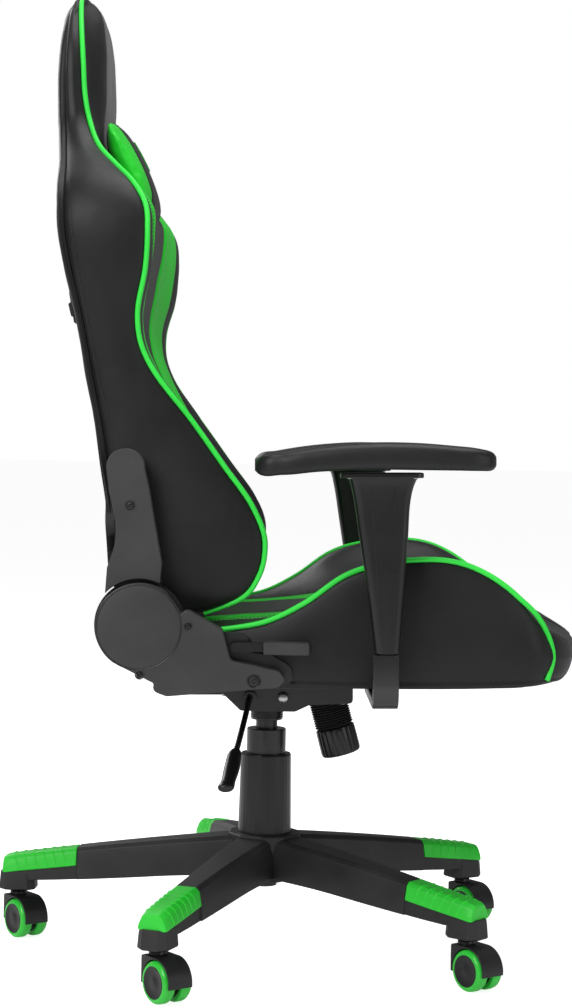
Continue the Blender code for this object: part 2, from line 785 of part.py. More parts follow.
def back_cover_outline(inset=0.0):
    """The upper hinge cover, whose foot is an arc round the recline axis."""
    axis = (RECLINE_AXIS.x, RECLINE_AXIS.z)
    top = (-0.1635, 0.6430)
    foot = arc(axis, DISC_RADIUS + 0.0042 + inset, 136, 64, 10)
    foot = [(foot[0][0] + inset, foot[0][1])] + foot[1:-1] + [(foot[-1][0] - inset, foot[-1][1])]
    front = [(-0.1209 - inset, 0.5310), (-0.1290 - inset, 0.5780), (-0.1356 - inset, 0.6182)]
    crown = arc(top, 0.0225 - inset, -2, 176, 9)
    rear = [
        (-0.1826 + inset, 0.6150), (-0.1768 + inset, 0.5880), (-0.1745 + inset, 0.5680),
        (-0.1772 + inset, 0.5480), (-0.1850 + inset, 0.5260),
    ]
    return foot + front + crown + rear


def seat_plate_outline():
    """The steel plate behind the lower cover. Its front end shows past the cover's arm."""
    axis = (RECLINE_AXIS.x, RECLINE_AXIS.z)
    arm = [
        (-0.0960, 0.4755, 0.01),
        (-0.0560, 0.4500, 0.006),
        (-0.0200, 0.4470, 0.010),
        (-0.0170, 0.4240, 0.006),
        (0.0080, 0.4215, 0.012),
        (0.0330, 0.4070, 0.016),
        (0.0315, 0.3880, 0.008),
        (0.0100, 0.3830, 0.006),
        (-0.1150, 0.3790, 0.010),
        (-0.1310, 0.3850, 0.010),
    ]
    return arc(axis, 0.044, 234, 52, 14) + rounded(arm, 3)[1:]


def both_sides(make, distances, name):
    """Plate meshes for the right (-Y) and left (+Y) sides."""
    near, far = distances
    right = outline_mesh(make, -far, -near, name=name + "_right")
    left = outline_mesh(make, near, far, name=name + "_left")
    return {"right": right, "left": left}


def build_recliner(tilt):
    plates = both_sides(seat_plate_outline(), SEAT_PLATE, "plate")
    covers = both_sides(side_cover_outline(), SIDE_COVER, "cover")
    hollow = both_sides(
        side_cover_outline(0.0026), (SIDE_COVER[0] - 0.01, SIDE_COVER[1] - 0.0028), "hollow",
    )
    for side, sign in (("right", -1), ("left", 1)):
        plate = add(f"seat_hinge_plate_{side}", plates[side], "black_metal", tilt)
        ys = sorted((sign * 0.120, sign * (SEAT_PLATE[0] + 0.002)))
        flange = box_mesh((-0.112, ys[0], 0.3744), (-0.050, ys[1], 0.3796))
        boolean(plate, tool(f"plate_flange_{side}", flange, tilt), "UNION")
        cover = add(f"side_cover_{side}", covers[side], "hinge_plastic", tilt)
        bevel(cover, 0.0022, 1)
        boolean(cover, tool(f"side_cover_hollow_{side}", hollow[side], tilt))


def build_recline_lever(lever, tilt):
    pin = RECLINE_LEVER_PIN
    near, far = -0.2815, -0.2742
    arm = outline_mesh(
        arc((pin.x, pin.z), 0.0095, 70, 290, 8) + [(-0.004, pin.z - 0.0052), (-0.004, pin.z + 0.0052)],
        near,
        far,
    )
    shank = box_mesh((-0.0065, -0.2860, pin.z - 0.0050), (0.0010, far, pin.z + 0.0050))
    grip = outline_mesh(
        rounded(
            [
                (-0.0015, 0.4238, 0.002), (0.0524, 0.4230, 0.002), (0.0524, 0.4375, 0.002),
                (-0.0015, 0.4382, 0.002),
            ],
            2,
        ),
        -0.2990, -0.2745,
    )
    handle = add("recline_lever", arm, "black_plastic", lever)
    boolean(handle, tool("lever_shank", shank, tilt), "UNION")
    boolean(handle, tool("lever_grip", grip, tilt), "UNION")


# ---------------------------------------------------------------- backrest

# height, half width, rear, side edge, wing front, middle of the front; each an x but the first two
BACK_SECTIONS = (
    (0.4670, 0.232, -0.166, -0.076, -0.076, -0.090),
    (0.4850, 0.243, -0.176, -0.031, -0.032, -0.072),
    (0.5100, 0.248, -0.182, -0.0095, -0.010, -0.064),
    (0.5510, 0.250, -0.186, -0.0005, -0.001, -0.062),
    (0.5950, 0.248, -0.189, -0.0150, -0.012, -0.076),
    (0.6450, 0.243, -0.198, -0.0500, -0.045, -0.098),
    (0.7000, 0.240, -0.207, -0.0890, -0.081, -0.119),
    (0.7580, 0.240, -0.218, -0.1335, -0.118, -0.140),
    (0.7900, 0.243, -0.2235, -0.1485, -0.133, -0.153),
    (0.8230, 0.250, -0.229, -0.1525, -0.137, -0.159),
    (0.8800, 0.262, -0.241, -0.1425, -0.124, -0.151),
    (0.9230, 0.266, -0.248, -0.1398, -0.120, -0.143),
    (0.9560, 0.260, -0.250, -0.1425, -0.124, -0.1405),
    (0.9840, 0.242, -0.251, -0.1580, -0.142, -0.160),
    (1.0100, 0.211, -0.252, -0.1815, -0.169, -0.187),
    (1.0350, 0.178, -0.2550, -0.2025, -0.193, -0.200),
    (1.0690, 0.153, -0.2575, -0.2163, -0.207, -0.203),
    (1.1020, 0.146, -0.2585, -0.2228, -0.210, -0.200),
    (1.1450, 0.142, -0.2580, -0.2255, -0.210, -0.1995),
    (1.1850, 0.127, -0.2550, -0.2285, -0.213, -0.2010),
    (1.2180, 0.096, -0.2500, -0.2315, -0.219, -0.2065),
    (1.2370, 0.060, -0.2420, -0.2335, -0.228, -0.2180),
    (1.2450, 0.030, -0.2375, -0.2345, -0.232, -0.2290),
)


def back_ring(z, wide, rear, edge, wing, middle):
    corner = min(0.012, 0.3 * wide)
    half = [
        (0.0, middle),
        (0.34 * wide, middle),
        (0.58 * wide, middle + 0.18 * (wing - middle)),
        (0.84 * wide, wing),
        (0.94 * wide, edge + 0.72 * (wing - edge)),
        (wide, edge),
        (wide, (edge + rear) / 2),
        (wide - 0.25 * corner, rear + corner),
        (wide - corner, rear + 0.3 * corner),
        (0.55 * wide, rear),
        (0.0, rear - 0.001),
    ]
    right = [(x, -y, z) for y, x in half]
    left = [(x, y, z) for y, x in reversed(half[1:-1])]
    return right + left


FRAME_HALF = (
    (-0.1474, 0.200, 0.4568),
    (-0.1490, 0.200, 0.5000),
    (-0.1580, 0.199, 0.5800),
    (-0.1750, 0.198, 0.6800),
    (-0.1930, 0.198, 0.7800),
    (-0.2060, 0.198, 0.8800),
    (-0.2120, 0.186, 0.9500),
    (-0.2230, 0.148, 1.0200),
    (-0.2330, 0.113, 1.0800),
    (-0.2370, 0.100, 1.1400),
    (-0.2380, 0.062, 1.1800),
    (-0.2385, 0.000, 1.1920),
)


def frame_path():
    """The bent tube inside the backrest."""
    half = [Vector(p) for p in FRAME_HALF]
    whole = half + [Vector((p.x, -p.y, p.z)) for p in reversed(half[:-1])]
    return smooth_path(whole, 40)


def build_backrest(back, tilt):
    cushion = add(
        "backrest_cushion", loft_mesh([back_ring(*s) for s in BACK_SECTIONS], "backrest"),
        "black_leather", back, smooth=60,
    )
    path = frame_path()
    below = Vector((0, 0, 0.030))
    channel = tool(
        "frame_channel", tube_mesh([path[0] - below] + path + [path[-1] - below], 0.0094, 1), tilt,
    )
    boolean(cushion, channel)

    axis = RECLINE_AXIS
    reach = ARM_PLATE[1] - 0.001
    cross = cylinder_mesh(axis + Vector((0, -reach, 0)), axis + Vector((0, reach, 0)), 0.0088, 16)
    frame = add("back_frame", cross, "black_metal", back)
    boolean(frame, tool("frame_hoop", tube_mesh(path, 0.0080, 1), tilt), "UNION")
    arm_outline = arc((axis.x, axis.z), 0.036, 150, 390, 14) + arc((-0.1610, 0.628), 0.0165, 5, 175, 8)
    arms = both_sides(arm_outline, ARM_PLATE, "arm")
    for side, sign in (("right", -1), ("left", 1)):
        boolean(frame, tool(f"frame_arm_{side}", arms[side], tilt), "UNION")
        boss = cylinder_mesh(
            axis + Vector((0, sign * (ARM_PLATE[0] + 0.001), 0)),
            axis + Vector((0, sign * BOSS_END, 0)), 0.030, 24,
        )
        boolean(frame, tool(f"frame_boss_{side}", boss, tilt), "UNION")

    covers = both_sides(back_cover_outline(), BACK_COVER, "cover")
    hollow = both_sides(
        back_cover_outline(0.0026), (BACK_COVER[0] - 0.01, BACK_COVER[1] - 0.0028), "hollow",
    )
    for side in ("right", "left"):
        cover = add(f"back_cover_{side}", covers[side], "hinge_plastic", back)
        bevel(cover, 0.0022, 1)
        boolean(cover, tool(f"back_cover_hollow_{side}", hollow[side], tilt))
    build_pillow(back, tilt)


def build_pillow(back, tilt):
    """Head pillow on the slope under the headrest, and the strap behind the backrest."""
    # y, thickness share, half height
    stations = (
        (0.0, 1.0, 1.0), (0.060, 1.0, 1.0), (0.100, 0.97, 0.99), (0.125, 0.84, 0.95),
        (0.137, 0.52, 0.87),
    )
    top, foot = Vector((-0.1925, 1.0860)), Vector((-0.1375, 0.9700))
    along = foot - top
    out = Vector((-along.y, along.x)).normalized()
    rings = []
    for sign in (-1, 1):
        side = stations if sign == 1 else tuple(reversed(stations[1:]))
        for y, thick, tall in side:
            ring = []
            for t, rise in (
                (0.00, 0.000), (0.10, 0.006), (0.30, 0.0080), (0.55, 0.0060), (0.80, 0.004),
                (1.00, 0.001), (0.98, -0.004), (0.80, -0.0130), (0.55, -0.0220), (0.30, -0.0230),
                (0.08, -0.008),
            ):
                share = 0.5 + (t - 0.5) * tall
                point = top + along * share + out * (rise * thick)
                ring.append((point.x, sign * y, point.y))
            rings.append(ring)
    add("head_pillow", loft_mesh(rings, "pillow"), "black_leather", back, smooth=60)

    # A flat strap down the rear, with its clip. It follows the cover, a little way off it.
    strap = [
        (-0.2630, 1.100), (-0.2595, 1.020), (-0.2555, 0.940), (-0.2475, 0.885), (-0.2405, 0.850),
        (-0.2310, 0.800),
    ]
    back_edge = [(x - 0.0018, z) for x, z in reversed(strap)]
    band = add("pillow_strap", outline_mesh(strap + back_edge, -0.0125, 0.0125), "strap_webbing", back)
    clip = rounded(
        [
            (-0.2440, 0.872, 0.002), (-0.2515, 0.869, 0.002), (-0.2445, 0.826, 0.002),
            (-0.2372, 0.829, 0.002),
        ],
        2,
    )
    boolean(band, tool("strap_clip", outline_mesh(clip, -0.0175, 0.0175), tilt), "UNION")


# ---------------------------------------------------------------- armrests

def arm_bracket_mesh(sign):
    """A flat bar under the seat that bends up beside it."""
    inner, outer = ARM_Y - 0.0100, ARM_Y + 0.0100
    low, high = 0.3602, 0.3737
    corners = [
        (0.120, low, 0.0),
        (outer, low, 0.026),
        (outer, ARM_SPLIT - 0.001, 0.0),
        (inner, ARM_SPLIT - 0.001, 0.0),
        (inner, high, 0.012),
        (0.120, high, 0.0),
    ]
    outline = [(sign * y, z) for y, z in rounded(corners, 5)]
    return outline_mesh(outline, ARM_X - 0.0140, ARM_X + 0.0140, "YZ")


def post_rings(inset=0.0, low=ARM_SPLIT, high=POST_TOP - 0.0055):
    """Sections of the tapered sleeve, wide at the top and narrow at the foot."""
    rings = []
    for z, rear, front, half in (
        (0.4265, 0.1281, 0.1562, 0.0125),
        (0.5000, 0.1190, 0.1620, 0.0145),
        (0.5600, 0.1105, 0.1662, 0.0165),
        (0.6150, 0.1020, 0.1710, 0.0190),
        (0.6310, 0.0975, 0.1770, 0.0210),
    ):
        height = low if z == 0.4265 else min(z, high)
        chamfer = 0.007
        r, f, h = rear + inset, front - inset, half - inset
        c = max(chamfer - inset, 0.002)
        plan = [
            (r + c, -h), (f - c, -h), (f, -h + c), (f, h - c), (f - c, h), (r + c, h), (r, h - c),
            (r, -h + c),
        ]
        rings.append([(x, y, height) for x, y in plan])
    return rings


def pad_mesh(sign):
    """The arched arm pad."""
    rings = []
    for x, half, low, high in (
        (-0.0116, 0.020, 0.6400, 0.6480),
        (-0.0060, 0.034, 0.6352, 0.6545),
        (0.0200, 0.044, 0.6350, 0.6600),
        (0.0600, 0.047, 0.6385, 0.6665),
        (0.1000, 0.048, 0.6405, 0.6705),
        (0.1400, 0.048, 0.6410, 0.6722),
        (0.1800, 0.048, 0.6405, 0.6712),
        (0.2200, 0.046, 0.6400, 0.6680),
        (0.2500, 0.041, 0.6395, 0.6645),
        (0.2640, 0.030, 0.6410, 0.6600),
        (0.2678, 0.018, 0.6450, 0.6560),
    ):
        c = 0.35 * (high - low)
        outline = rounded(
            [(-half, low, c), (half, low, c), (half, high, 1.2 * c), (-half, high, 1.2 * c)], 3,
        )
        rings.append([(x, sign * ARM_Y + y, z) for y, z in outline])
    return loft_mesh(rings, "pad")


def build_arm(side, sign, tilt, post_pivot, button_pivot):
    centre = Vector((0, sign * ARM_Y, 0))
    bracket = add(f"arm_bracket_{side}", arm_bracket_mesh(sign), "black_metal", tilt)
    bar = box_mesh(
        (ARM_X - 0.0095, sign * ARM_Y - 0.0060, 0.400),
        (ARM_X + 0.0095, sign * ARM_Y + 0.0060, 0.545),
    )
    boolean(bracket, tool(f"bracket_bar_{side}", bar, tilt), "UNION")

    outer = loft_mesh(post_rings())
    outer.transform(Matrix.Translation(centre))
    post = add(f"arm_post_{side}", outer, "black_plastic", post_pivot)
    plate_outline = rounded(
        [(0.088, -0.026, 0.01), (0.184, -0.026, 0.01), (0.184, 0.026, 0.01), (0.088, 0.026, 0.01)],
        3,
    )
    plate = outline_mesh(
        [(x, y + sign * ARM_Y) for x, y in plate_outline], POST_TOP - 0.0058, POST_TOP + 0.0005,
        "XY",
    )
    boolean(post, tool(f"post_plate_{side}", plate, tilt), "UNION")
    # The bar slides inside this, and there is room above it for the travel.
    well = box_mesh(
        (ARM_X - 0.0100, sign * ARM_Y - 0.0065, 0.40),
        (ARM_X + 0.0100, sign * ARM_Y + 0.0065, 0.612),
    )
    boolean(post, tool(f"post_well_{side}", well, tilt))

    add(f"arm_pad_{side}", pad_mesh(sign), "arm_pad_foam", post_pivot, smooth=50)

    # The height button sits in the face of the post that looks at the seat.
    face = sign * (ARM_Y - 0.0178)
    ys = sorted((face, face - sign * 0.0052))
    button = box_mesh((0.128, ys[0], 0.588), (0.146, ys[1], 0.612))
    pocket_ys = sorted((face + sign * 0.0048, face - sign * 0.02))
    pocket = box_mesh((0.1274, pocket_ys[0], 0.5874), (0.1466, pocket_ys[1], 0.6126))
    boolean(post, tool(f"button_pocket_{side}", pocket, tilt))
    knob = add(f"arm_button_{side}", button, "black_plastic", button_pivot)
    bevel(knob, 0.0012, 2)


# ---------------------------------------------------------------- the chair

def main():
    global PARTS, TOOLS
    clear_scene()
    PARTS = new_collection("gaming_chair")
    TOOLS = new_collection("cutters_and_joins")

    material("base_plastic", (0.030, 0.029, 0.030), 0.62)
    material("black_plastic", (0.022, 0.022, 0.023), 0.50)
    material("hinge_plastic", (0.050, 0.048, 0.050), 0.58)
    material("wheel_plastic", (0.018, 0.018, 0.019), 0.45)
    material("green_plastic", (0.030, 0.780, 0.045), 0.45)
    material("black_metal", (0.014, 0.014, 0.015), 0.38, 0.6)
    material("steel", (0.600, 0.600, 0.600), 0.25, 1.0)
    material("rubber", (0.012, 0.012, 0.012), 0.75)
    material("black_leather", (0.016, 0.015, 0.016), 0.42)
    material("strap_webbing", (0.010, 0.010, 0.010), 0.85)
    material("arm_pad_foam", (0.018, 0.018, 0.019), 0.40)

    root = pivot("chair_root", (0, 0, 0))
    root.location = CHAIR_ORIGIN

    build_base(root)
    build_casters(root)
    lift = pivot("gas_lift_slide", (0, 0, TUBE_TOP), root)
    build_column(root, lift)
    swivel = pivot("seat_swivel", (0, 0, 0.310), lift)
    build_socket(swivel, root)
    tilt = pivot("rocking_tilt", BODY_PIN, swivel)
    tilt.location = TILT_PIN - PLACES["seat_swivel"]
    tilt.rotation_euler.y = -REST_LEAN
    build_mechanism(tilt)
    build_knob(pivot("knob_turn", KNOB_TOP, tilt))
    slider = pivot("lock_slide", LEVER_START, tilt)
    build_height_lever(slider, pivot("lever_lift", LEVER_START, slider))
    build_seat(tilt)
    build_recliner(tilt)
    build_recline_lever(pivot("recline_lever_pull", RECLINE_LEVER_PIN, tilt), tilt)
    build_backrest(pivot("recline", RECLINE_AXIS, tilt), tilt)
    for side, sign in (("right", -1), ("left", 1)):
        post_pivot = pivot(f"arm_height_{side}", (ARM_X, sign * ARM_Y, ARM_SPLIT), tilt)
        button_pivot = pivot(f"arm_button_press_{side}", (0.137, sign * ARM_Y, 0.600), post_pivot)
        build_arm(side, sign, tilt, post_pivot, button_pivot)


main()
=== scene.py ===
"""The looks of the racing-style swivel chair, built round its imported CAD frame."""
import json
import math

import bmesh
import bpy
import numpy as np
from mathutils import Matrix, Vector, noise
from mathutils.bvhtree import BVHTree


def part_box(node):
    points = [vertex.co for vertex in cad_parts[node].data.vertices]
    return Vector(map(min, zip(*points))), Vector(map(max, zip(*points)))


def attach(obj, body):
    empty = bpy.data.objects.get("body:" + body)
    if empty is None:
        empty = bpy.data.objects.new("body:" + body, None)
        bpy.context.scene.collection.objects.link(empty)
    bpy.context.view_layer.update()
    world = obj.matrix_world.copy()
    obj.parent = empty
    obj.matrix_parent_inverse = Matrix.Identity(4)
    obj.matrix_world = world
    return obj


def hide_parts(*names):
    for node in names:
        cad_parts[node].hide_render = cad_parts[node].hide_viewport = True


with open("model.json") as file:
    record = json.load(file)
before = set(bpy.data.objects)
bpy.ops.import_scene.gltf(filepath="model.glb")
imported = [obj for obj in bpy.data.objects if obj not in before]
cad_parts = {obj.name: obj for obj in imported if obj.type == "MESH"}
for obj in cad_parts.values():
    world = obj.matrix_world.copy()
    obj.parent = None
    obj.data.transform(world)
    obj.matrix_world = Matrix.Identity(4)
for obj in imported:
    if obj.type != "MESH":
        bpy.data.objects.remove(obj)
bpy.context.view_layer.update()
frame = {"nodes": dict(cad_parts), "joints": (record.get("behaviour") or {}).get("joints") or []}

JOINTS = {j["name"]: j for j in frame["joints"]}
COLUMN_X = (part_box("gas_cylinder")[0].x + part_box("gas_cylinder")[1].x) / 2

# The seat and everything on it are drawn level round BODY_PIN, then hung on the rocking pin.
BODY_PIN = Vector((0.0244, 0.0, 0.3463))
REST_LEAN = math.radians(1.21)
PIN = sum(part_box("rocking_pin"), Vector()) / 2
PIN.y = 0.0
HANG = Matrix.Translation(PIN) @ Matrix.Rotation(-REST_LEAN, 4, "Y") @ Matrix.Translation(-BODY_PIN)
STAND = Matrix.Translation((COLUMN_X, 0, 0))

SIDES = (("right", -1), ("left", 1))

PIPING_RADIUS = 0.0032
CORE_INSET = 0.0026  # how far a cushion's core lies under its covers


# ---------------------------------------------------------------- materials

class Surface:
    """A material's node tree, with short calls for the nodes it needs."""

    def __init__(self, name, **sockets):
        self.material = bpy.data.materials.new(name)
        self.material.use_nodes = True
        self.tree = self.material.node_tree
        self.shader = self.tree.nodes["Principled BSDF"]
        for key, value in sockets.items():
            self.shader.inputs[key.replace("_", " ")].default_value = value
        self.place = self.tree.nodes.new("ShaderNodeTexCoord").outputs["Object"]

    def node(self, kind, inputs=None, **settings):
        made = self.tree.nodes.new("ShaderNode" + kind)
        for key, value in settings.items():
            setattr(made, key, value)
        for key, value in (inputs or {}).items():
            socket = made.inputs[key]
            if isinstance(value, bpy.types.NodeSocket):
                self.tree.links.new(value, socket)
            else:
                socket.default_value = value
        return made

    def noise(self, scale, detail=3.0, rough=0.55, place=None):
        inputs = {"Vector": place or self.place, "Scale": scale, "Detail": detail, "Roughness": rough}
        return self.node("TexNoise", inputs).outputs["Fac"]

    def cells(self, scale, feature="DISTANCE_TO_EDGE", place=None):
        return self.node(
            "TexVoronoi", {"Vector": place or self.place, "Scale": scale}, feature=feature,
        ).outputs["Distance"]

    def math(self, operation, a, b=0.0, c=0.0):
        return self.node("Math", {0: a, 1: b, 2: c}, operation=operation).outputs[0]

    def spread(self, value, low, high, to_low, to_high):
        inputs = {
            "Value": value, "From Min": low, "From Max": high, "To Min": to_low, "To Max": to_high,
        }
        return self.node("MapRange", inputs).outputs["Result"]

    def mix(self, share, a, b):
        inputs = {
            "Factor": share, "A": (*a, 1) if isinstance(a, tuple) else a,
            "B": (*b, 1) if isinstance(b, tuple) else b,
        }
        made = self.tree.nodes.new("ShaderNodeMix")
        made.data_type = "RGBA"
        for key, index in (("Factor", 0), ("A", 6), ("B", 7)):
            value = inputs[key]
            if isinstance(value, bpy.types.NodeSocket):
                self.tree.links.new(value, made.inputs[index])
            else:
                made.inputs[index].default_value = value
        return made.outputs[2]

    def finish(self, colour, rough, heights):
        """Links colour and roughness, and bumps from (height, strength, distance) rows."""
        self.tree.links.new(colour, self.shader.inputs["Base Color"])
        self.tree.links.new(rough, self.shader.inputs["Roughness"])
        normal = None
        for height, strength, distance in heights:
            inputs = {"Height": height, "Strength": strength, "Distance": distance}
            if normal:
                inputs["Normal"] = normal
            normal = self.node("Bump", inputs).outputs["Normal"]
        self.tree.links.new(normal, self.shader.inputs["Normal"])
        return self.material


def leather(name, dark, light, rough=0.42, grain=700.0, sheen=0.0, holes=None):
    """Grained artificial leather; holes is the plane, such as XY, in which it is perforated, and each hole
    is darkened as painted shade.
    """
    s = Surface(name, Specular_IOR_Level=0.34, Sheen_Weight=sheen, Sheen_Roughness=0.45)
    pores = s.cells(grain)
    creases = s.noise(95.0, 5.0, 0.6)
    patches = s.noise(9.0, 2.0)
    tone = s.math(
        "MULTIPLY_ADD", s.spread(patches, 0.3, 0.7, 0.0, 1.0), 0.65,
        s.math("MULTIPLY", creases, 0.35),
    )
    colour = s.mix(s.spread(tone, 0.1, 0.9, 0.0, 1.0), dark, light)
    rough_at = s.spread(s.math("ADD", creases, patches), 0.6, 1.4, rough - 0.06, rough + 0.09)
    heights = [
        (patches, 0.10, 0.004), (creases, 0.12, 0.0007),
        (s.spread(pores, 0.0, 0.12, 0.0, 1.0), 0.22, 0.0003),
    ]
    if holes:
        pitch = 0.0036
        parts = s.node("SeparateXYZ", {"Vector": s.place}).outputs
        a = s.math("DIVIDE", parts[holes[0]], pitch)
        b = s.math("DIVIDE", parts[holes[1]], pitch)
        # Rows shift by half a pitch.
        a = s.math("ADD", a, s.math("MULTIPLY", s.math("FLOOR", b), 0.5))
        da = s.math("SUBTRACT", s.math("FRACT", a), 0.5)
        db = s.math("SUBTRACT", s.math("FRACT", b), 0.5)
        reach = s.math("SQRT", s.math("ADD", s.math("MULTIPLY", da, da), s.math("MULTIPLY", db, db)))
        hole = s.spread(reach, 0.17, 0.25, 1.0, 0.0)
        # The holes are darkened nearly to black: painted shade inside the perforations.
        colour = s.mix(hole, colour, tuple(0.12 * c for c in dark))
        heights.append((s.math("SUBTRACT", 1.0, hole), 0.9, 0.0006))
    return s.finish(colour, rough_at, heights)


def plastic(
    name, dark, light, rough=0.5, grain=1500.0, strength=0.15, coat=0.0, metallic=0.0, edge=0.25,
):
    """Moulded plastic or painted metal, with a fine texture and rubbed edges."""
    s = Surface(name, Coat_Weight=coat, Coat_Roughness=0.12, Metallic=metallic)
    fine = s.noise(grain, 2.0)
    broad = s.noise(14.0, 4.0)
    rubbed = s.spread(s.node("NewGeometry").outputs["Pointiness"], 0.52, 0.60, 0.0, edge)
    scuffs = s.spread(s.noise(60.0, 6.0, 0.7), 0.62, 0.78, 0.0, 0.22)
    tone = s.math("ADD", s.spread(broad, 0.3, 0.7, 0.0, 0.7), s.math("ADD", rubbed, scuffs))
    colour = s.mix(s.math("MINIMUM", tone, 1.0), dark, light)
    rough_at = s.spread(
        s.math("ADD", broad, s.math("MULTIPLY", fine, 0.4)), 0.4, 1.0, rough - 0.06, rough + 0.08,
    )
    return s.finish(colour, rough_at, [(broad, 0.05, 0.002), (fine, strength, 0.0003)])


def brushed(name, colour, rough=0.28):
    s = Surface(name, Metallic=1.0)
    stretched = s.node("Mapping", {"Vector": s.place, "Scale": (60.0, 60.0, 1400.0)}).outputs[0]
    lines = s.noise(1.0, 3.0, place=stretched)
    tone = s.mix(lines, tuple(0.75 * c for c in colour), colour)
    return s.finish(
        tone, s.spread(lines, 0.3, 0.7, rough - 0.08, rough + 0.10), [(lines, 0.12, 0.0002)],
    )


def webbing(name, dark, light):
    s = Surface(name, Sheen_Weight=0.25)
    parts = s.node("SeparateXYZ", {"Vector": s.place}).outputs
    across = s.math("SINE", s.math("MULTIPLY", parts[1], 2600.0))
    along = s.math("SINE", s.math("MULTIPLY", parts[2], 2300.0))
    weave = s.math("MULTIPLY", across, along)
    colour = s.mix(s.spread(weave, -1.0, 1.0, 0.0, 1.0), dark, light)
    return s.finish(colour, s.spread(weave, -1, 1, 0.8, 0.95), [(weave, 0.6, 0.0005)])


BLACK = ((0.0050, 0.0050, 0.0052), (0.0105, 0.0104, 0.0109))
LEATHER = leather("leather_black", *BLACK, rough=0.44, sheen=0.06)
PERFORATED = leather(
    "leather_perforated", (0.012, 0.012, 0.012), (0.024, 0.024, 0.024), rough=0.50, sheen=0.10,
    holes=(0, 1),
)
BACK_PERFORATED = leather(
    "leather_back_panel", (0.010, 0.010, 0.010), (0.018, 0.018, 0.018), rough=0.48, sheen=0.08,
    holes=(1, 2),
)
# Black leather drawn lighter grey: a painted sheen, for the headrest's front panel.
SHEEN_PAINTED_LEATHER = leather(
    "leather_black_painted_sheen", (0.050, 0.052, 0.050), (0.090, 0.093, 0.090), rough=0.36, sheen=0.20,
)
GREEN_LEATHER = leather(
    "leather_green", (0.014, 0.640, 0.022), (0.022, 0.800, 0.036), rough=0.42, sheen=0.05,
)
GREEN_PERFORATED = leather(
    "leather_green_perforated", (0.012, 0.520, 0.018), (0.020, 0.660, 0.030), rough=0.46,
    holes=(0, 1),
)
PIPING = leather("piping_green", (0.030, 0.780, 0.060), (0.050, 0.930, 0.085), rough=0.40, grain=1100.0)
THREAD = leather("thread_grey", (0.030, 0.030, 0.030), (0.060, 0.060, 0.060), rough=0.70, grain=2500.0)
GREEN_THREAD = leather(
    "thread_green", (0.012, 0.420, 0.020), (0.020, 0.620, 0.040), rough=0.55, grain=2500.0,
)
PAD = leather("arm_pad_skin", (0.010, 0.010, 0.0105), (0.018, 0.018, 0.019), rough=0.38, grain=900.0)
BASE = plastic("base_nylon", (0.009, 0.0087, 0.009), (0.034, 0.033, 0.034), rough=0.52, strength=0.30)
HINGE = plastic(
    "hinge_cover_plastic", (0.030, 0.029, 0.030), (0.052, 0.050, 0.052), rough=0.56, strength=0.35,
)
SMOOTH = plastic("black_plastic_satin", (0.0042, 0.0042, 0.0044), (0.0100, 0.0100, 0.0104), rough=0.30)
GRIP = plastic("grip_plastic", (0.030, 0.029, 0.030), (0.050, 0.048, 0.050), rough=0.5, strength=0.3)
WHEEL = plastic("wheel_plastic_black", (0.0065, 0.0065, 0.007), (0.018, 0.018, 0.019), rough=0.40)
TREAD = plastic(
    "tread_green", (0.018, 0.560, 0.030), (0.036, 0.760, 0.060), rough=0.36, coat=0.25, edge=0.5,
)
CAP_GREEN = plastic(
    "cap_green", (0.016, 0.600, 0.026), (0.034, 0.800, 0.052), rough=0.46, strength=0.4, edge=0.6,
)
PAINT = plastic(
    "black_paint", (0.0075, 0.0075, 0.008), (0.022, 0.022, 0.023), rough=0.33, coat=0.3,
    metallic=0.2,
)
GLOSS = plastic(
    "gloss_black", (0.006, 0.006, 0.006), (0.012, 0.012, 0.012), rough=0.16, coat=0.6,
    strength=0.03,
)
RUBBER = plastic("boot_rubber", (0.0055, 0.0055, 0.0055), (0.016, 0.016, 0.016), rough=0.68)
STEEL = brushed("steel_brushed", (0.62, 0.62, 0.63))
WEBBING = webbing("strap_webbing_black", (0.006, 0.006, 0.006), (0.028, 0.028, 0.028))

KEPT = {
    PAINT: (
        "gas_lift_tube", "gas_cylinder", "column_socket", "tilt_housing", "seat_pan", "lock_bush",
        "back_frame", "seat_hinge_plate_right", "seat_hinge_plate_left",
    ),
    SMOOTH: ("column_sleeve", "arm_button_right", "arm_button_left"),
    STEEL: ("piston_rod", "rocking_pin") + tuple(f"caster_axle_{n}" for n in range(1, 6)),
}
for kept_material, kept_nodes in KEPT.items():
    for kept_name in kept_nodes:
        frame["nodes"][kept_name].material_slots[0].material = kept_material


# ---------------------------------------------------------------- helpers

def mesh_object(name, mesh, look, turn=HANG, smooth=38.0):
    mesh.transform(turn)
    made = bpy.data.objects.new(name, mesh)
    bpy.context.scene.collection.objects.link(made)
    mesh.materials.append(look)
    mesh.shade_smooth()
    if smooth:
        mesh.set_sharp_from_angle(angle=math.radians(smooth))
    return made


def settle(piece, body, slot, *nodes):
    """Hands a finished piece to its body and hides the CAD nodes that it stands for. slot is not used."""
    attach(piece, body)
    if nodes:
        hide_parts(*nodes)
    return piece


def to_mesh(bm, name):
    bmesh.ops.recalc_face_normals(bm, faces=bm.faces)
    mesh = bpy.data.meshes.new(name)
    bm.to_mesh(mesh)
    bm.free()
    return mesh


def round_edges(piece, width, segments=3, angle=30.0):
    step = piece.modifiers.new("edges", "BEVEL")
    step.width = width
    step.segments = segments
    step.limit_method = "ANGLE"
    step.angle_limit = math.radians(angle)
    step.harden_normals = True
    return piece


def arc(centre, radius, start, end, steps):
    angles = [math.radians(start + (end - start) * i / steps) for i in range(steps + 1)]
    return [(centre[0] + radius * math.cos(a), centre[1] + radius * math.sin(a)) for a in angles]


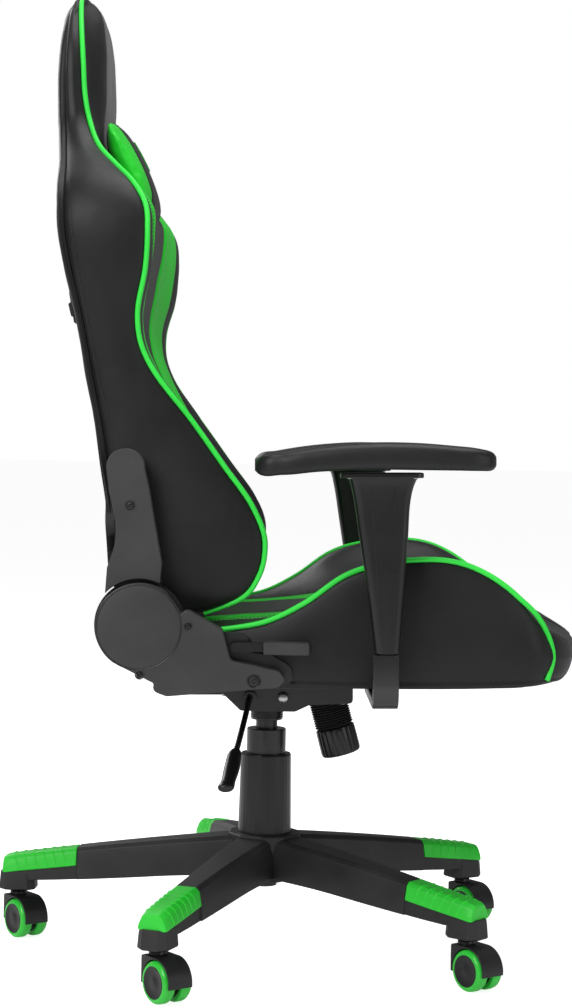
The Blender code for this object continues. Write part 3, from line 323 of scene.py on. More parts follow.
def rounded(corners, steps=6):
    """A closed outline from (a, b, radius) corners, each rounded to its radius."""
    outline = []
    for i, (a, b, radius) in enumerate(corners):
        here, before, after = (Vector(corners[k % len(corners)][:2]) for k in (i, i - 1, i + 1))
        if radius <= 0:
            outline.append((a, b))
            continue
        u, v = (before - here).normalized(), (after - here).normalized()
        reach = min(
            radius / math.tan(u.angle(v) / 2), 0.48 * (before - here).length,
            0.48 * (after - here).length,
        )
        for k in range(steps + 1):
            t = k / steps
            point = (1 - t) ** 2 * (here + u * reach) + 2 * t * (1 - t) * here + t**2 * (here + v * reach)
            outline.append(tuple(point))
    return outline


def loft(name, rings, closed=True):
    """A closed skin over rings of points that all have the same count."""
    bm = bmesh.new()
    made = [[bm.verts.new(p) for p in ring] for ring in rings]
    size = len(made[0])
    for a, b in zip(made, made[1:]):
        for i in range(size):
            bm.faces.new((a[i], a[(i + 1) % size], b[(i + 1) % size], b[i]))
    if closed:
        bm.faces.new(list(reversed(made[0])))
        bm.faces.new(made[-1])
    return to_mesh(bm, name)


def slab(name, outline, low, high, plane="XZ"):
    """A flat outline between two distances along the plane's normal."""
    corner = {
        "XZ": lambda a, b, h: (a, h, b), "YZ": lambda a, b, h: (h, a, b), "XY": lambda a, b,
        h: (a, b, h),
    }[plane]
    return loft(name, [[corner(a, b, h) for a, b in outline] for h in (low, high)])


def lathe(name, profile, steps=40, wave=None):
    """A turned shape round Z from a (radius, height) profile that starts and ends on the axis,
    or a ring where it does not. wave(angle, radius) scales the radius."""
    bm = bmesh.new()
    columns = []
    for k in range(steps):
        a = 2 * math.pi * k / steps
        column = []
        for r, h in profile:
            if r < 1e-6:
                column.append(None)
            else:
                q = r * (wave(a, r) if wave else 1.0)
                column.append(bm.verts.new((q * math.cos(a), q * math.sin(a), h)))
        columns.append(column)
    poles = {i: bm.verts.new((0, 0, h)) for i, (r, h) in enumerate(profile) if r < 1e-6}
    ring = not poles
    count = len(profile)
    for k in range(steps):
        a, b = columns[k], columns[(k + 1) % steps]
        for i in range(count if ring else count - 1):
            j = (i + 1) % count
            corners = [
                poles.get(i) or a[i], poles.get(i) or b[i], poles.get(j) or b[j],
                poles.get(j) or a[j],
            ]
            unique = []
            for v in corners:
                if v not in unique:
                    unique.append(v)
            if len(unique) > 2:
                bm.faces.new(unique)
    return to_mesh(bm, name)


def smooth_path(points, count):
    """count points evenly along the Catmull-Rom curve through the given points."""
    ctrl = np.array([tuple(p) for p in points], float)
    fine = across(ctrl, np.linspace(0, len(ctrl) - 1, 12 * len(ctrl)))
    along = np.concatenate([[0.0], np.cumsum(np.linalg.norm(np.diff(fine, axis=0), axis=1))])
    at = np.linspace(0, along[-1], count)
    return [Vector([np.interp(v, along, fine[:, k]) for k in range(3)]) for v in at]


def tube(name, path, radius, resolution=4):
    """A round tube along a path, as a closed mesh."""
    curve = bpy.data.curves.new(name, "CURVE")
    curve.dimensions = "3D"
    curve.bevel_depth = radius
    curve.bevel_resolution = resolution
    curve.use_fill_caps = True
    spline = curve.splines.new("POLY")
    spline.points.add(len(path) - 1)
    for point, place in zip(spline.points, path):
        point.co = (*place, 1.0)
    holder = bpy.data.objects.new(name, curve)
    bpy.context.scene.collection.objects.link(holder)
    bpy.context.view_layer.update()
    raw = bpy.data.meshes.new_from_object(holder.evaluated_get(bpy.context.evaluated_depsgraph_get()))
    bpy.data.objects.remove(holder)
    bm = bmesh.new()
    bm.from_mesh(raw)
    bpy.data.meshes.remove(raw)
    bmesh.ops.remove_doubles(bm, verts=bm.verts, dist=1e-7)
    return to_mesh(bm, name)


def across(ctrl, at):
    """Points of the Catmull-Rom curve through ctrl, at positions counted in control points."""
    ctrl = np.array(ctrl, float)
    at = np.clip(np.array(at, float), 0, len(ctrl) - 1)
    k = np.minimum(at.astype(int), len(ctrl) - 2)
    t = (at - k)[:, None]
    last = len(ctrl) - 1
    a, b, c, d = (ctrl[np.clip(k + i, 0, last)] for i in (-1, 0, 1, 2))
    return 0.5 * (
        2 * b + (c - a) * t + (2 * a - 5 * b + 4 * c - d) * t**2 + (3 * b - a - 3 * c + d) * t**3
    )


def rows(table, at):
    """The table's rows interpolated smoothly at values of its first column."""
    table = np.array(table, float)
    x, y = table[:, 0], table[:, 1:]
    slope = np.diff(y, axis=0) / np.diff(x)[:, None]
    m = np.vstack([slope[:1], (slope[:-1] + slope[1:]) / 2, slope[-1:]])
    m[1:-1][slope[:-1] * slope[1:] <= 0] = 0.0
    at = np.array(at, float)
    k = np.clip(np.searchsorted(x, at) - 1, 0, len(x) - 2)
    h = (x[k + 1] - x[k])[:, None]
    t = ((at - x[k])[:, None]) / h
    return (
        (2 * t**3 - 3 * t**2 + 1) * y[k] + (t**3 - 2 * t**2 + t) * h * m[k]
        + (3 * t**2 - 2 * t**3) * y[k + 1] + (t**3 - t**2) * h * m[k + 1]
    )


def normals(grid, centre):
    """Unit normals of a grid of points, away from the centre."""
    n = np.cross(np.gradient(grid, axis=0), np.gradient(grid, axis=1))
    n /= np.maximum(np.linalg.norm(n, axis=2, keepdims=True), 1e-12)
    if np.sum(n * (grid - np.array(centre))) < 0:
        n = -n
    return n


def reach_in(grid):
    """Each grid point's distance to the grid's border."""
    out = None
    for axis in (0, 1):
        step = np.linalg.norm(np.diff(grid, axis=axis), axis=2)
        pad = [(1, 0), (0, 0)] if axis == 0 else [(0, 0), (1, 0)]
        along = np.cumsum(np.pad(step, pad), axis=axis)
        total = np.take(along, [-1], axis=axis)
        near = np.minimum(along, total - along)
        out = near if out is None else np.minimum(out, near)
    return out


def panel(name, grid, look, centre, crown=0.002, sink=0.0016, depth=0.004, edge=0.012, folds=0.0):
    """A closed, crowned piece of upholstery: points pushed out along the surface's normals, with
    its border pulled in to the seam."""
    grid = np.array(grid, float)
    n = normals(grid, centre)
    rise = np.clip(reach_in(grid) / edge, 0, 1)
    height = -sink + (sink + crown) * np.sqrt(1 - (1 - rise) ** 2)
    if folds:
        for i in range(grid.shape[0]):
            for j in range(grid.shape[1]):
                p = Vector(grid[i, j])
                height[i, j] += folds * rise[i, j] * (
                    noise.noise(p * 22.0) + 0.5 * noise.noise(p * 47.0)
                )
    top = grid + n * height[..., None]
    low = grid - n * (depth + sink)
    rows_, columns = grid.shape[:2]
    bm = bmesh.new()
    upper = [[bm.verts.new(top[i, j]) for j in range(columns)] for i in range(rows_)]
    under = [[bm.verts.new(low[i, j]) for j in range(columns)] for i in range(rows_)]
    for i in range(rows_ - 1):
        for j in range(columns - 1):
            bm.faces.new((upper[i][j], upper[i][j + 1], upper[i + 1][j + 1], upper[i + 1][j]))
            bm.faces.new((under[i][j], under[i + 1][j], under[i + 1][j + 1], under[i][j + 1]))
    rim = [(0, j) for j in range(columns)] + [(i, columns - 1) for i in range(1, rows_)]
    rim += [
        (rows_ - 1, j) for j in range(columns - 2, -1, -1)
    ] + [(i, 0) for i in range(rows_ - 2, 0, -1)]
    for a, b in zip(rim, rim[1:] + rim[:1]):
        bm.faces.new((upper[a[0]][a[1]], under[a[0]][a[1]], under[b[0]][b[1]], upper[b[0]][b[1]]))
    return mesh_object(name, to_mesh(bm, name), look, smooth=70)


def stitches(name, path, look, length=0.0034, gap=0.0014, radius=0.00042, turn=HANG):
    """A row of short threads along a path."""
    path = [Vector(p) for p in path]
    total = sum((b - a).length for a, b in zip(path, path[1:]))
    count = max(2, int(total / (length + gap)))
    spots = smooth_path(path, 2 * count)
    bm = bmesh.new()
    for k in range(0, 2 * count - 1, 2):
        a, b = spots[k], spots[k + 1]
        along = b - a
        side = along.orthogonal().normalized()
        other = along.cross(side).normalized()
        rings = []
        for share, wide in ((0.0, 0.45), (0.25, 1.0), (0.75, 1.0), (1.0, 0.45)):
            here = a + along * share
            ring = []
            for i in range(6):
                t = math.pi * i / 3
                ring.append(
                    bm.verts.new(here + (side * math.cos(t) + other * math.sin(t)) * radius * wide)
                )
            rings.append(ring)
        for p, q in zip(rings, rings[1:]):
            for i in range(6):
                bm.faces.new((p[i], p[(i + 1) % 6], q[(i + 1) % 6], q[i]))
        bm.faces.new(rings[0])
        bm.faces.new(rings[-1])
    return mesh_object(name, to_mesh(bm, name), look, turn)


def facing(place, axis):
    """The turn that stands a shape drawn round Z at a place, along an axis."""
    return Matrix.Translation(place) @ Vector(axis).to_track_quat("Z", "Y").to_matrix().to_4x4()


def turned(name, profile, steps, look, body, slot, *nodes, turn=HANG, smooth=38.0, wave=None):
    """A lathed piece, handed to its body."""
    return settle(
        mesh_object(name, lathe(name, profile, steps, wave), look, turn, smooth), body, slot,
        *nodes,
    )


def cut(name, outline, low, high, look, edges, body, slot, *nodes, plane="XZ", turn=HANG):
    """A flat piece, handed to its body; edges is the width, segments and angle of its rounding."""
    piece = mesh_object(name, slab(name, outline, low, high, plane), look, turn)
    if edges:
        round_edges(piece, *edges)
    return settle(piece, body, slot, *nodes)


def screw(name, at, axis, radius, look, turn=HANG):
    """A pan-head screw with a cross recess."""
    profile = [
        (0, -0.35 * radius), (0.30 * radius, -0.30 * radius), (0.42 * radius, 0.28 * radius),
        (0.80 * radius, 0.20 * radius), (radius, -0.05 * radius), (radius, -0.55 * radius),
        (0, -0.6 * radius),
    ]
    mesh = lathe(
        name, profile, 24, lambda a,
        r: 1.0 + (0.35 * math.cos(4 * a) if r < 0.35 * radius else 0.0),
    )
    mesh.transform(facing(at, axis))
    return mesh_object(name, mesh, look, turn)


# ---------------------------------------------------------------- base and casters

LEG_COUNT = 5
FIRST_LEG = math.radians(31.4)
CAP_START, LEG_END, CASTER_RADIUS = 0.244, 0.3465, 0.323
CAP_END = 0.3418
LEG_ROWS = (  # distance from the column, underside, width at the underside, width at the top
    (0.030, 0.0920, 0.058, 0.049), (0.110, 0.0880, 0.051, 0.043), (0.180, 0.0820, 0.046, 0.038),
    (
        CAP_START, 0.0770, 0.0420, 0.0350,
    ), (0.310, 0.0735, 0.0405, 0.0325), (0.338, 0.0735, 0.0380, 0.0290),
    (LEG_END, 0.0750, 0.0340, 0.0235),
)


def leg_ring(radius, inset=0.0, floor=None):
    low, wide_low, wide_high = rows(LEG_ROWS, [radius])[0]
    t = (radius - 0.03) / (LEG_END - 0.03)
    nose = max(0.0, (radius - 0.334) / (LEG_END - 0.334))
    high = 0.1430 - 0.0307 * t - 0.0102 * t * t - 0.0045 * nose**2
    half_low, half_high = wide_low / 2, wide_high / 2
    crease_half = half_low - 0.1 * (half_low - half_high)
    crease = low + 0.5 * (high - low)
    half_floor = half_low
    if floor is not None:
        half_floor = half_low + (crease_half - half_low) * (floor - low) / (crease - low)
        low = floor
    chamfer = 0.005
    half = [
        (half_floor - inset, low), (crease_half - inset, crease), (half_high - inset, high - chamfer),
        (half_high - chamfer, high - inset),
    ]
    return [(radius, y, z) for y, z in half] + [(radius, -y, z) for y, z in reversed(half)]


def make_base():
    bm = bmesh.new()
    for number in range(LEG_COUNT):
        turn = STAND @ Matrix.Rotation(FIRST_LEG - number * 2 * math.pi / LEG_COUNT, 4, "Z")
        inner = [leg_ring(r) for r in np.linspace(0.030, CAP_START - 0.001, 16)]
        outer = [leg_ring(r, 0.0022) for r in (CAP_START - 0.0006, 0.270, 0.300, 0.325, 0.338)]
        mesh = loft("leg", inner + outer)
        mesh.transform(turn)
        bm.from_mesh(mesh)
        # The block at the leg's end that holds the caster's stem.
        rings = []
        for z, long, half in (
            (0.0597, 0.0225, 0.0185), (0.0612, 0.0240, 0.0200), (0.0780, 0.0228, 0.0190),
            (0.0840, 0.0222, 0.0182),
        ):
            c = 0.009
            plan = [
                (long, half - c), (long - c, half), (c - long, half), (-long, half - c),
                (-long, c - half), (c - long, -half), (long - c, -half), (long, c - half),
            ]
            rings.append([(CASTER_RADIUS + x, y, z) for x, y in plan])
        mesh = loft("foot", rings)
        mesh.transform(turn)
        bm.from_mesh(mesh)
        floors = (
            (CAP_START, 0.0950), (0.280, 0.0902), (0.310, 0.0865), (0.330, 0.0838),
            (0.3370, 0.0825), (CAP_END, 0.0825),
        )
        rings = [leg_ring(r, 0.0, f) for r, f in floors]
        cap = mesh_object(f"foot_cap_skin_{number + 1}", loft("cap", rings), CAP_GREEN, turn, 25)
        round_edges(cap, 0.0016, 2, 20)
        settle(cap, "base", "green_plastic", f"foot_cap_{number + 1}")
        ribs = bmesh.new()
        for k in range(6):
            r = CAP_START + 0.014 + 0.0125 * k
            for side in (-1, 1):
                ring = leg_ring(r, 0.0)
                up = leg_ring(r + 0.007, 0.0)
                low_end = Vector(ring[1]) + Vector((0, 0, -0.001))
                shoulder = Vector(up[2]).lerp(Vector(ring[2]), 0.4)
                crown = Vector(up[3])
                over = Vector((crown.x + 0.002, crown.y * 0.55, crown.z))
                path = [Vector((p.x, side * p.y, p.z)) for p in (low_end, shoulder, crown, over)]
                path = [Vector((p.x, p.y * 0.985, p.z - 0.0004)) for p in path]
                piece = tube("rib", smooth_path(path, 9), 0.0010, 2)
                ribs.from_mesh(piece)
        rib = mesh_object(f"foot_cap_ribs_{number + 1}", to_mesh(ribs, "ribs"), CAP_GREEN, turn)
        settle(rib, "base", "green_plastic")
    mesh = to_mesh(bm, "base_star_legs")
    legs = mesh_object("base_star_legs", mesh, BASE, Matrix.Identity(4), 25)
    round_edges(legs, 0.0012, 2, 20)
    settle(legs, "base", "base_plastic", "base_star")

    # The hub shows an upright facet between each two legs.
    rings = []
    for z, out, half in (
        (0.0862, 0.0430, 0.0100), (0.0880, 0.0438, 0.0105), (0.1120, 0.0452, 0.0118),
        (0.1150, 0.0458, 0.0126), (0.1440, 0.0465, 0.0145), (0.1457, 0.0450, 0.0140),
    ):
        ring = []
        for k in range(LEG_COUNT):
            middle = FIRST_LEG - math.radians(36) - k * 2 * math.pi / LEG_COUNT
            for side in (1, -1):
                a = middle + side * math.atan(half / out)
                r = math.hypot(half, out)
                ring.append((r * math.cos(a), r * math.sin(a), z))
        rings.append(ring)
    hub = mesh_object("base_star_hub", loft("hub", rings), BASE, STAND, 25)
    settle(round_edges(hub, 0.0010, 2, 20), "base", "base_plastic")
    disc = [(0, 0.0795), (0.0150, 0.0795), (0.0170, 0.0803), (0.0170, 0.0865), (0, 0.0865)]
    turned("column_foot_disc", disc, 32, PAINT, "base", "black_metal", turn=STAND)


def make_casters():
    for number in range(1, LEG_COUNT + 1):
        swivel = JOINTS[f"caster_{number}_swivel"]
        spin = JOINTS[f"wheel_{number}a_spin"]
        axle = Vector(spin["axis"]).normalized()
        centre = Vector(spin["pos_m"])
        stem = Vector(swivel["pos_m"])
        trail = Vector((centre.x - stem.x, centre.y - stem.y, 0)).normalized()
        side_axis = Vector((0, 0, 1)).cross(trail)
        turn = Matrix((
            (trail.x, side_axis.x, 0, stem.x), (
                trail.y, side_axis.y, 0, stem.y,
            ), (0, 0, 1, 0), (0, 0, 0, 1),
        ))
        reach = (centre - Vector((stem.x, stem.y, centre.z))).length
        radius = centre.z
        hub = (reach, radius)
        outer, inner = radius + 0.0030, radius + 0.0012
        crown = radius + outer
        fender = arc(hub, outer, -8, 90, 22) + [
            (-0.0060, crown), (-0.0085, crown - 0.0008), (-0.0095, crown - 0.0025),
            (-0.0095, 0.020),
        ]
        fender += arc(hub, inner, 192, -8, 40)
        cut(
            f"caster_fender_{number}", fender, -0.0168, 0.0168, WHEEL, (0.0007, 2, 40),
            f"caster_{number}", "wheel_plastic", f"caster_hood_{number}", turn=turn,
        )
        web = arc(hub, (outer + inner) / 2, -4, 190, 28) + [
            (reach - 0.006, 0.013), (reach + 0.008, 0.013),
        ]
        cut(
            f"caster_web_{number}", web, -0.0034, 0.0034, WHEEL, None, f"caster_{number}",
            "wheel_plastic", turn=turn,
        )
        boss = [
            (0, 0.0460), (0.0102, 0.0460), (0.0106, 0.0520), (0.0106, 0.0560), (0.0098, 0.0572),
            (0.0080, 0.0576), (0.0054, 0.0580), (0.0054, 0.0860), (0, 0.0860),
        ]
        turned(f"caster_stem_{number}", boss, 28, PAINT, f"caster_{number}", "steel", turn=turn)
        for label in "ab":
            body = f"wheel_{number}{label}"
            low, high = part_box(body)
            sign = 1 if ((low + high) / 2 - centre).dot(axle) > 0 else -1
            spin_turn = facing(centre, axle * sign)
            face = 0.0205
            tread = [
                (0.0192, 0.0050), (0.0235, 0.0046), (radius - 0.0006, 0.0060), (radius, 0.0076),
                (radius, 0.0140),
                (radius - 0.0005, 0.0168), (radius - 0.0022, 0.0190), (0.0208, face - 0.0004),
                (0.0192, face - 0.0006),
                (0.0186, face - 0.0018),
            ]
            ring = mesh_object(f"{body}_tread", lathe("tread", tread, 48), TREAD, spin_turn, 50)
            settle(ring, body, "green_plastic", body)
            core = [
                (0, face - 0.0010), (0.0050, face - 0.0011), (0.0062, face - 0.0017),
                (0.0140, face - 0.0016), (0.0170, face - 0.0004),
                (0.0184, face - 0.0002), (0.0190, face - 0.0010), (0.0191, 0.0060),
                (0.0165, 0.0048), (0.0046, 0.0047), (0, 0.0050),
            ]
            turned(f"{body}_disc", core, 48, WHEEL, body, "wheel_plastic", turn=spin_turn, smooth=35)


# ---------------------------------------------------------------- column and mechanism

KNOB_TOP = Vector((0.083, 0.0, 0.3385))
KNOB_AXIS = Vector((0.25, 0.0, -0.968)).normalized()


def make_mechanism():
    down = HANG @ facing(KNOB_TOP, KNOB_AXIS)
    boot = [(0, 0.0010)]
    ribs = 11
    for k in range(ribs):
        z = 0.0022 + 0.0345 * k / ribs
        boot += [(0.0226, z), (0.0250, z + 0.0010), (0.0252, z + 0.0016), (0.0226, z + 0.0027)]
    boot += [(0.0220, 0.0372), (0, 0.0372)]
    turned("spring_boot_ribs", boot, 48, RUBBER, "seat", "rubber", "spring_boot", turn=down, smooth=30)
    knob = [
        (0, 0.0378), (0.0236, 0.0378), (0.0252, 0.0392), (0.0256, 0.0440), (0.0258, 0.0690),
        (0.0250, 0.0728), (0.0225, 0.0742), (0.0120, 0.0736), (0, 0.0732),
    ]
    fluted = lathe(
        "knob", knob, 120, lambda a,
        r: 1.0 - (0.045 * max(0.0, math.cos(15 * a)) ** 2 if r > 0.0240 else 0.0),
    )
    settle(
        mesh_object("tension_knob_grip", fluted, SMOOTH, down, 30), "tension_knob", "black_plastic",
        "tension_knob",
    )

    # Ribbed collar where the seat's socket grips the column.
    collar = [(0.0150, 0.2935)]
    for k in range(5):
        z = 0.2940 + 0.0030 * k
        collar += [(0.0206, z), (0.0212, z + 0.0007), (0.0212, z + 0.0017), (0.0206, z + 0.0024)]
    collar += [(0.0150, 0.3095)]
    turned("column_collar", collar, 40, PAINT, "seat_socket", "black_metal", turn=STAND, smooth=30)
    for index, (x, y) in enumerate(
        ((-0.040, 0.160), (-0.040, -0.160), (0.300, 0.160), (0.300, -0.160))
    ):
        settle(
            screw(f"pan_screw_{index + 1}", (x, y, 0.3742), (0, 0, -1), 0.0055, STEEL), "seat",
            "steel",
        )
    for index, (x, y) in enumerate(
        ((-0.050, 0.046), (-0.050, -0.046), (0.100, 0.046), (0.100, -0.046))
    ):
        settle(
            screw(
                f"housing_screw_{index + 1}", (x, y, 0.3372 if x > 0 else 0.3480), (0, 0, -1),
                0.0045, STEEL,
            ),
            "seat", "steel",
        )

    head = [
        (0, 0.0030), (0.0035, 0.0027), (0.0056, 0.0016), (0.0064, 0.0), (0.0064, -0.003),
        (0, -0.003),
    ]
    face = HANG @ facing(BODY_PIN + Vector((0, -0.0615, 0)), (0, -1, 0))
    turned("rocking_pin_head", head, 32, STEEL, "seat_socket", "steel", turn=face)
    start = Vector((-0.0180, -0.0605, 0.346))
    path = smooth_path(
        [
            start + Vector((0, -0.0080, 0)), start + Vector((-0.001, -0.022, 0)),
            (-0.0240, -0.110, 0.3270), (-0.0315, -0.162, 0.3035), (-0.0358, -0.185, 0.2920),
        ],
        40,
    )
    settle(
        mesh_object("height_lever_shaft", tube("shaft", path, 0.0038), PAINT), "height_lever",
        "steel", "height_lever_rod",
    )
    rings = []
    stations = (
        (-0.0352, -0.1795, 0.2945, 0.0046, 0.0042), (-0.0356, -0.1835, 0.2925, 0.0062, 0.0055),
        (-0.0368, -0.190, 0.2892, 0.0072, 0.0060), (-0.0398, -0.212, 0.2768, 0.0078, 0.0050),
        (-0.0435, -0.232, 0.2660, 0.0070, 0.0045), (-0.0458, -0.243, 0.2612, 0.0080, 0.0050),
        (-0.0466, -0.248, 0.2594, 0.0066, 0.0038), (-0.0468, -0.2495, 0.2590, 0.0030, 0.0018),
    )
    fine = across(stations, np.linspace(0, len(stations) - 1, 29))
    for x, y, z, wide, thick in fine:
        wide, thick = 1.25 * wide, 1.15 * thick
        rings.append(
            [
                (
                    x + wide * math.cos(a), y - thick * 0.45 * math.sin(a), z + thick * math.sin(a),
                ) for a in (2 * math.pi * k / 20 for k in range(20))
            ]
        )
    settle(
        mesh_object("height_lever_handle", loft("handle", rings), SMOOTH, smooth=50),
        "height_lever", "black_plastic", "height_lever_grip",
    )


# ---------------------------------------------------------------- seat

SEAT_LOW = 0.3800
SEAT_ROWS = (  # x, half width, top of the side edge, top of the bolster, top of the middle
    (-0.1240, 0.226, 0.440, 0.4430, 0.440), (-0.0800, 0.250, 0.446, 0.4490, 0.450), (
        -0.0390, 0.258, 0.4506, 0.4536, 0.4535,
    ),
    (0.0050, 0.263, 0.4600, 0.4590, 0.456), (0.0480, 0.266, 0.4815, 0.4805, 0.459), (
        0.0960, 0.266, 0.5140, 0.5130, 0.463,
    ),
    (0.1450, 0.266, 0.5285, 0.5275, 0.467), (0.1950, 0.266, 0.5325, 0.5315, 0.471), (
        0.2470, 0.266, 0.5230, 0.5220, 0.474,
    ),
    (0.2970, 0.264, 0.4910, 0.4900, 0.472), (0.3300, 0.256, 0.4530, 0.4560, 0.462), (
        0.3580, 0.226, 0.4370, 0.4400, 0.449,
    ),
    (0.3720, 0.190, 0.4290, 0.4330, 0.440), (0.3840, 0.125, 0.4240, 0.4275, 0.4315), (
        0.3940, 0.060, 0.4180, 0.4210, 0.4235,
    ),
    (0.3975, 0.020, 0.4170, 0.4175, 0.4180),
)
SEAT_CENTRE = (0.12, 0.0, 0.43)


def seat_line(x, spots, part):
    """Points across the seat at x. part is top, counted outwards to the piping, or side, down from it."""
    wide, side_top, crest, middle = rows(SEAT_ROWS, [x])[0]
    low = SEAT_LOW + 0.034 * min(1.05, max(0.0, (x - 0.355) / 0.039)) ** 1.5
    k = min(1.0, wide / 0.240)
    if part == "top":
        ctrl = [
            (0.0, middle), (0.110 * k, middle), (0.150 * k, middle + 0.12 * (crest - middle)),
            (wide - 0.062 * k, middle + 0.62 * (crest - middle)), (wide - 0.034 * k, crest),
            (wide - 0.010 * k, side_top + 0.35 * (crest - side_top)), (wide, side_top),
        ]
    else:
        belly = 0.0025 if x < 0.33 else 0.0
        ctrl = [
            (wide, side_top), (wide + belly, (side_top + low) / 2), (wide - 0.002 * k, low + 0.012 * k),
            (wide - 0.012 * k, low + 0.0035), (0.120 * k, low), (0.0, low),
        ]
    found = across(ctrl, np.abs(spots))
    return [(x, y * (1 if s >= 0 else -1), z) for (y, z), s in zip(found, spots)]


def seat_grid(xs, spots, part, sign=1):
    return [[(x, sign * y, z) for x, y, z in seat_line(x, spots, part)] for x in xs]


def surface_tree(mesh):
    bm = bmesh.new()
    bm.from_mesh(mesh)
    tree = BVHTree.FromBMesh(bm)
    bm.free()
    return tree


def make_seat():
    xs = np.concatenate([np.linspace(-0.1240, 0.33, 66), np.linspace(0.334, 0.3975, 24)])
    rings = []
    for x in xs:
        right = seat_line(x, np.linspace(0, 6, 30), "top") + seat_line(
            x, np.linspace(0.25, 5, 20), "side",
        )
        rings.append(
            [(a, -b, c) for a, b, c in right] + [(a, b, c) for a, b, c in reversed(right[1:-1])]
        )
    bm = bmesh.new()
    bm.from_mesh(loft("seat_core", rings))
    for v in bm.verts:
        v.co -= v.normal * CORE_INSET
    core = mesh_object("seat_core", to_mesh(bm, "seat_core"), LEATHER, smooth=60)
    settle(core, "seat", "black_leather", "seat_cushion")

    back, front = -0.1235, 0.3320
    main = np.linspace(back, front, 80)
    pieces = [
        (
            "seat_middle_panel", seat_grid(main, np.linspace(-0.86, 0.86, 30), "top"), PERFORATED,
            0.0042, 0.018, "black_leather",
        ),
        (
            "seat_front_panel",
            seat_grid(np.linspace(front, 0.3972, 26), np.linspace(-2.0, 2.0, 44), "top"), LEATHER,
            0.0022, 0.014, "black_leather",
        ),
    ]
    for side, sign in SIDES:
        pieces += [
            (
                f"seat_insert_{side}", seat_grid(main, np.linspace(0.86, 2.0, 14), "top", sign),
                GREEN_PERFORATED, 0.0030, 0.014, "green_plastic",
            ),
            (
                f"seat_bolster_{side}",
                seat_grid(np.linspace(back, 0.3970, 100), np.linspace(2.0, 6.0, 30), "top", sign),
                LEATHER, 0.0012, 0.016, "black_leather",
            ),
            (
                f"seat_side_{side}",
                seat_grid(np.linspace(back, 0.3970, 100), np.linspace(0.0, 2.4, 30), "side", sign),
                LEATHER, 0.0045, 0.050, "black_leather",
            ),
        ]
    for name, grid, look, crown, edge, slot in pieces:
        piece = panel(name, grid, look, SEAT_CENTRE, crown=crown, edge=edge, folds=0.0007)
        settle(piece, "seat", slot)

    for side, sign in SIDES:
        path = [Vector(seat_line(x, [6.0], "top")[0]) for x in np.linspace(back, 0.300, 60)]
        for x, z in ((0.322, 0.467), (0.337, 0.442), (0.344, 0.415), (0.336, 0.388)):
            path.append(Vector((x, rows(SEAT_ROWS, [x])[0][0] + 0.0015, z)))
        out = [Vector((p.x, sign * (p.y + 0.0006), p.z + 0.0014)) for p in smooth_path(path, 130)]
        pipe = mesh_object(f"seat_piping_{side}", tube("piping", out, PIPING_RADIUS), PIPING)
        settle(pipe, "seat", "green_plastic")
        for label, spot in (("inner", 0.80), ("outer", 2.10)):
            seam = [
                Vector(seat_line(x, [spot], "top")[0]) for x in np.linspace(
                    back + 0.01, front - 0.004, 60,
                )
            ]
            seam = [Vector((p.x, sign * p.y, p.z + 0.0016)) for p in seam]
            settle(stitches(f"seat_stitch_{label}_{side}", seam, THREAD), "seat", "black_leather")
    seam = [
        Vector((p[0], p[1], p[2] + 0.0010)) for p in seat_line(
            front - 0.004, np.linspace(-0.8, 0.8, 30), "top",
        )
    ]
    settle(stitches("seat_stitch_front", seam, THREAD), "seat", "black_leather")


# ---------------------------------------------------------------- backrest

BACK_ROWS = (  # height, half width, rear, side edge, wing front, middle of the front
    (0.4670, 0.232, -0.166, -0.076, -0.076, -0.090), (0.4850, 0.243, -0.176, -0.031, -0.032, -0.072),
    (0.5100, 0.248, -0.182, -0.0095, -0.010, -0.064), (0.5510, 0.250, -0.186, -0.0005, -0.001, -0.062),
    (0.5950, 0.248, -0.189, -0.0150, -0.012, -0.076), (0.6450, 0.243, -0.198, -0.0500, -0.045, -0.098),
    (0.7000, 0.240, -0.207, -0.0890, -0.081, -0.119), (0.7580, 0.240, -0.218, -0.1335, -0.118, -0.140),
    (0.7900, 0.243, -0.2235, -0.1485, -0.133, -0.153), (0.8230, 0.250, -0.229, -0.1525, -0.137, -0.159),
    (0.8800, 0.262, -0.241, -0.1425, -0.124, -0.151), (0.9230, 0.266, -0.248, -0.1398, -0.120, -0.143),
    (0.9560, 0.260, -0.250, -0.1425, -0.124, -0.1405), (0.9840, 0.242, -0.251, -0.1580, -0.142, -0.160),
    (1.0100, 0.211, -0.252, -0.1815, -0.169, -0.187), (1.0350, 0.178, -0.2550, -0.2025, -0.193, -0.200),
    (1.0690, 0.153, -0.2575, -0.2163, -0.207, -0.203), (
        1.1020, 0.146, -0.2585, -0.2228, -0.210, -0.200,
    ),
    (1.1450, 0.142, -0.2580, -0.2255, -0.210, -0.1995), (
        1.1850, 0.127, -0.2550, -0.2285, -0.213, -0.2010,
    ),
    (1.2180, 0.096, -0.2500, -0.2315, -0.219, -0.2065), (
        1.2370, 0.060, -0.2420, -0.2335, -0.228, -0.2180,
    ),
    (1.2450, 0.030, -0.2375, -0.2345, -0.232, -0.2290),
)
WING_CROWN = 0.25  # the wings swell ahead of their piping by this share of what the solid does
TWIST = 0.0150  # how far the left wing is carried forward
BACK_CENTRE = (-0.17, 0.0, 0.80)
INSERT_START, INSERT_END = 1.35, 2.60  # the green insert's borders, as spots for back_line
INSERT_WIDENS = 0.33


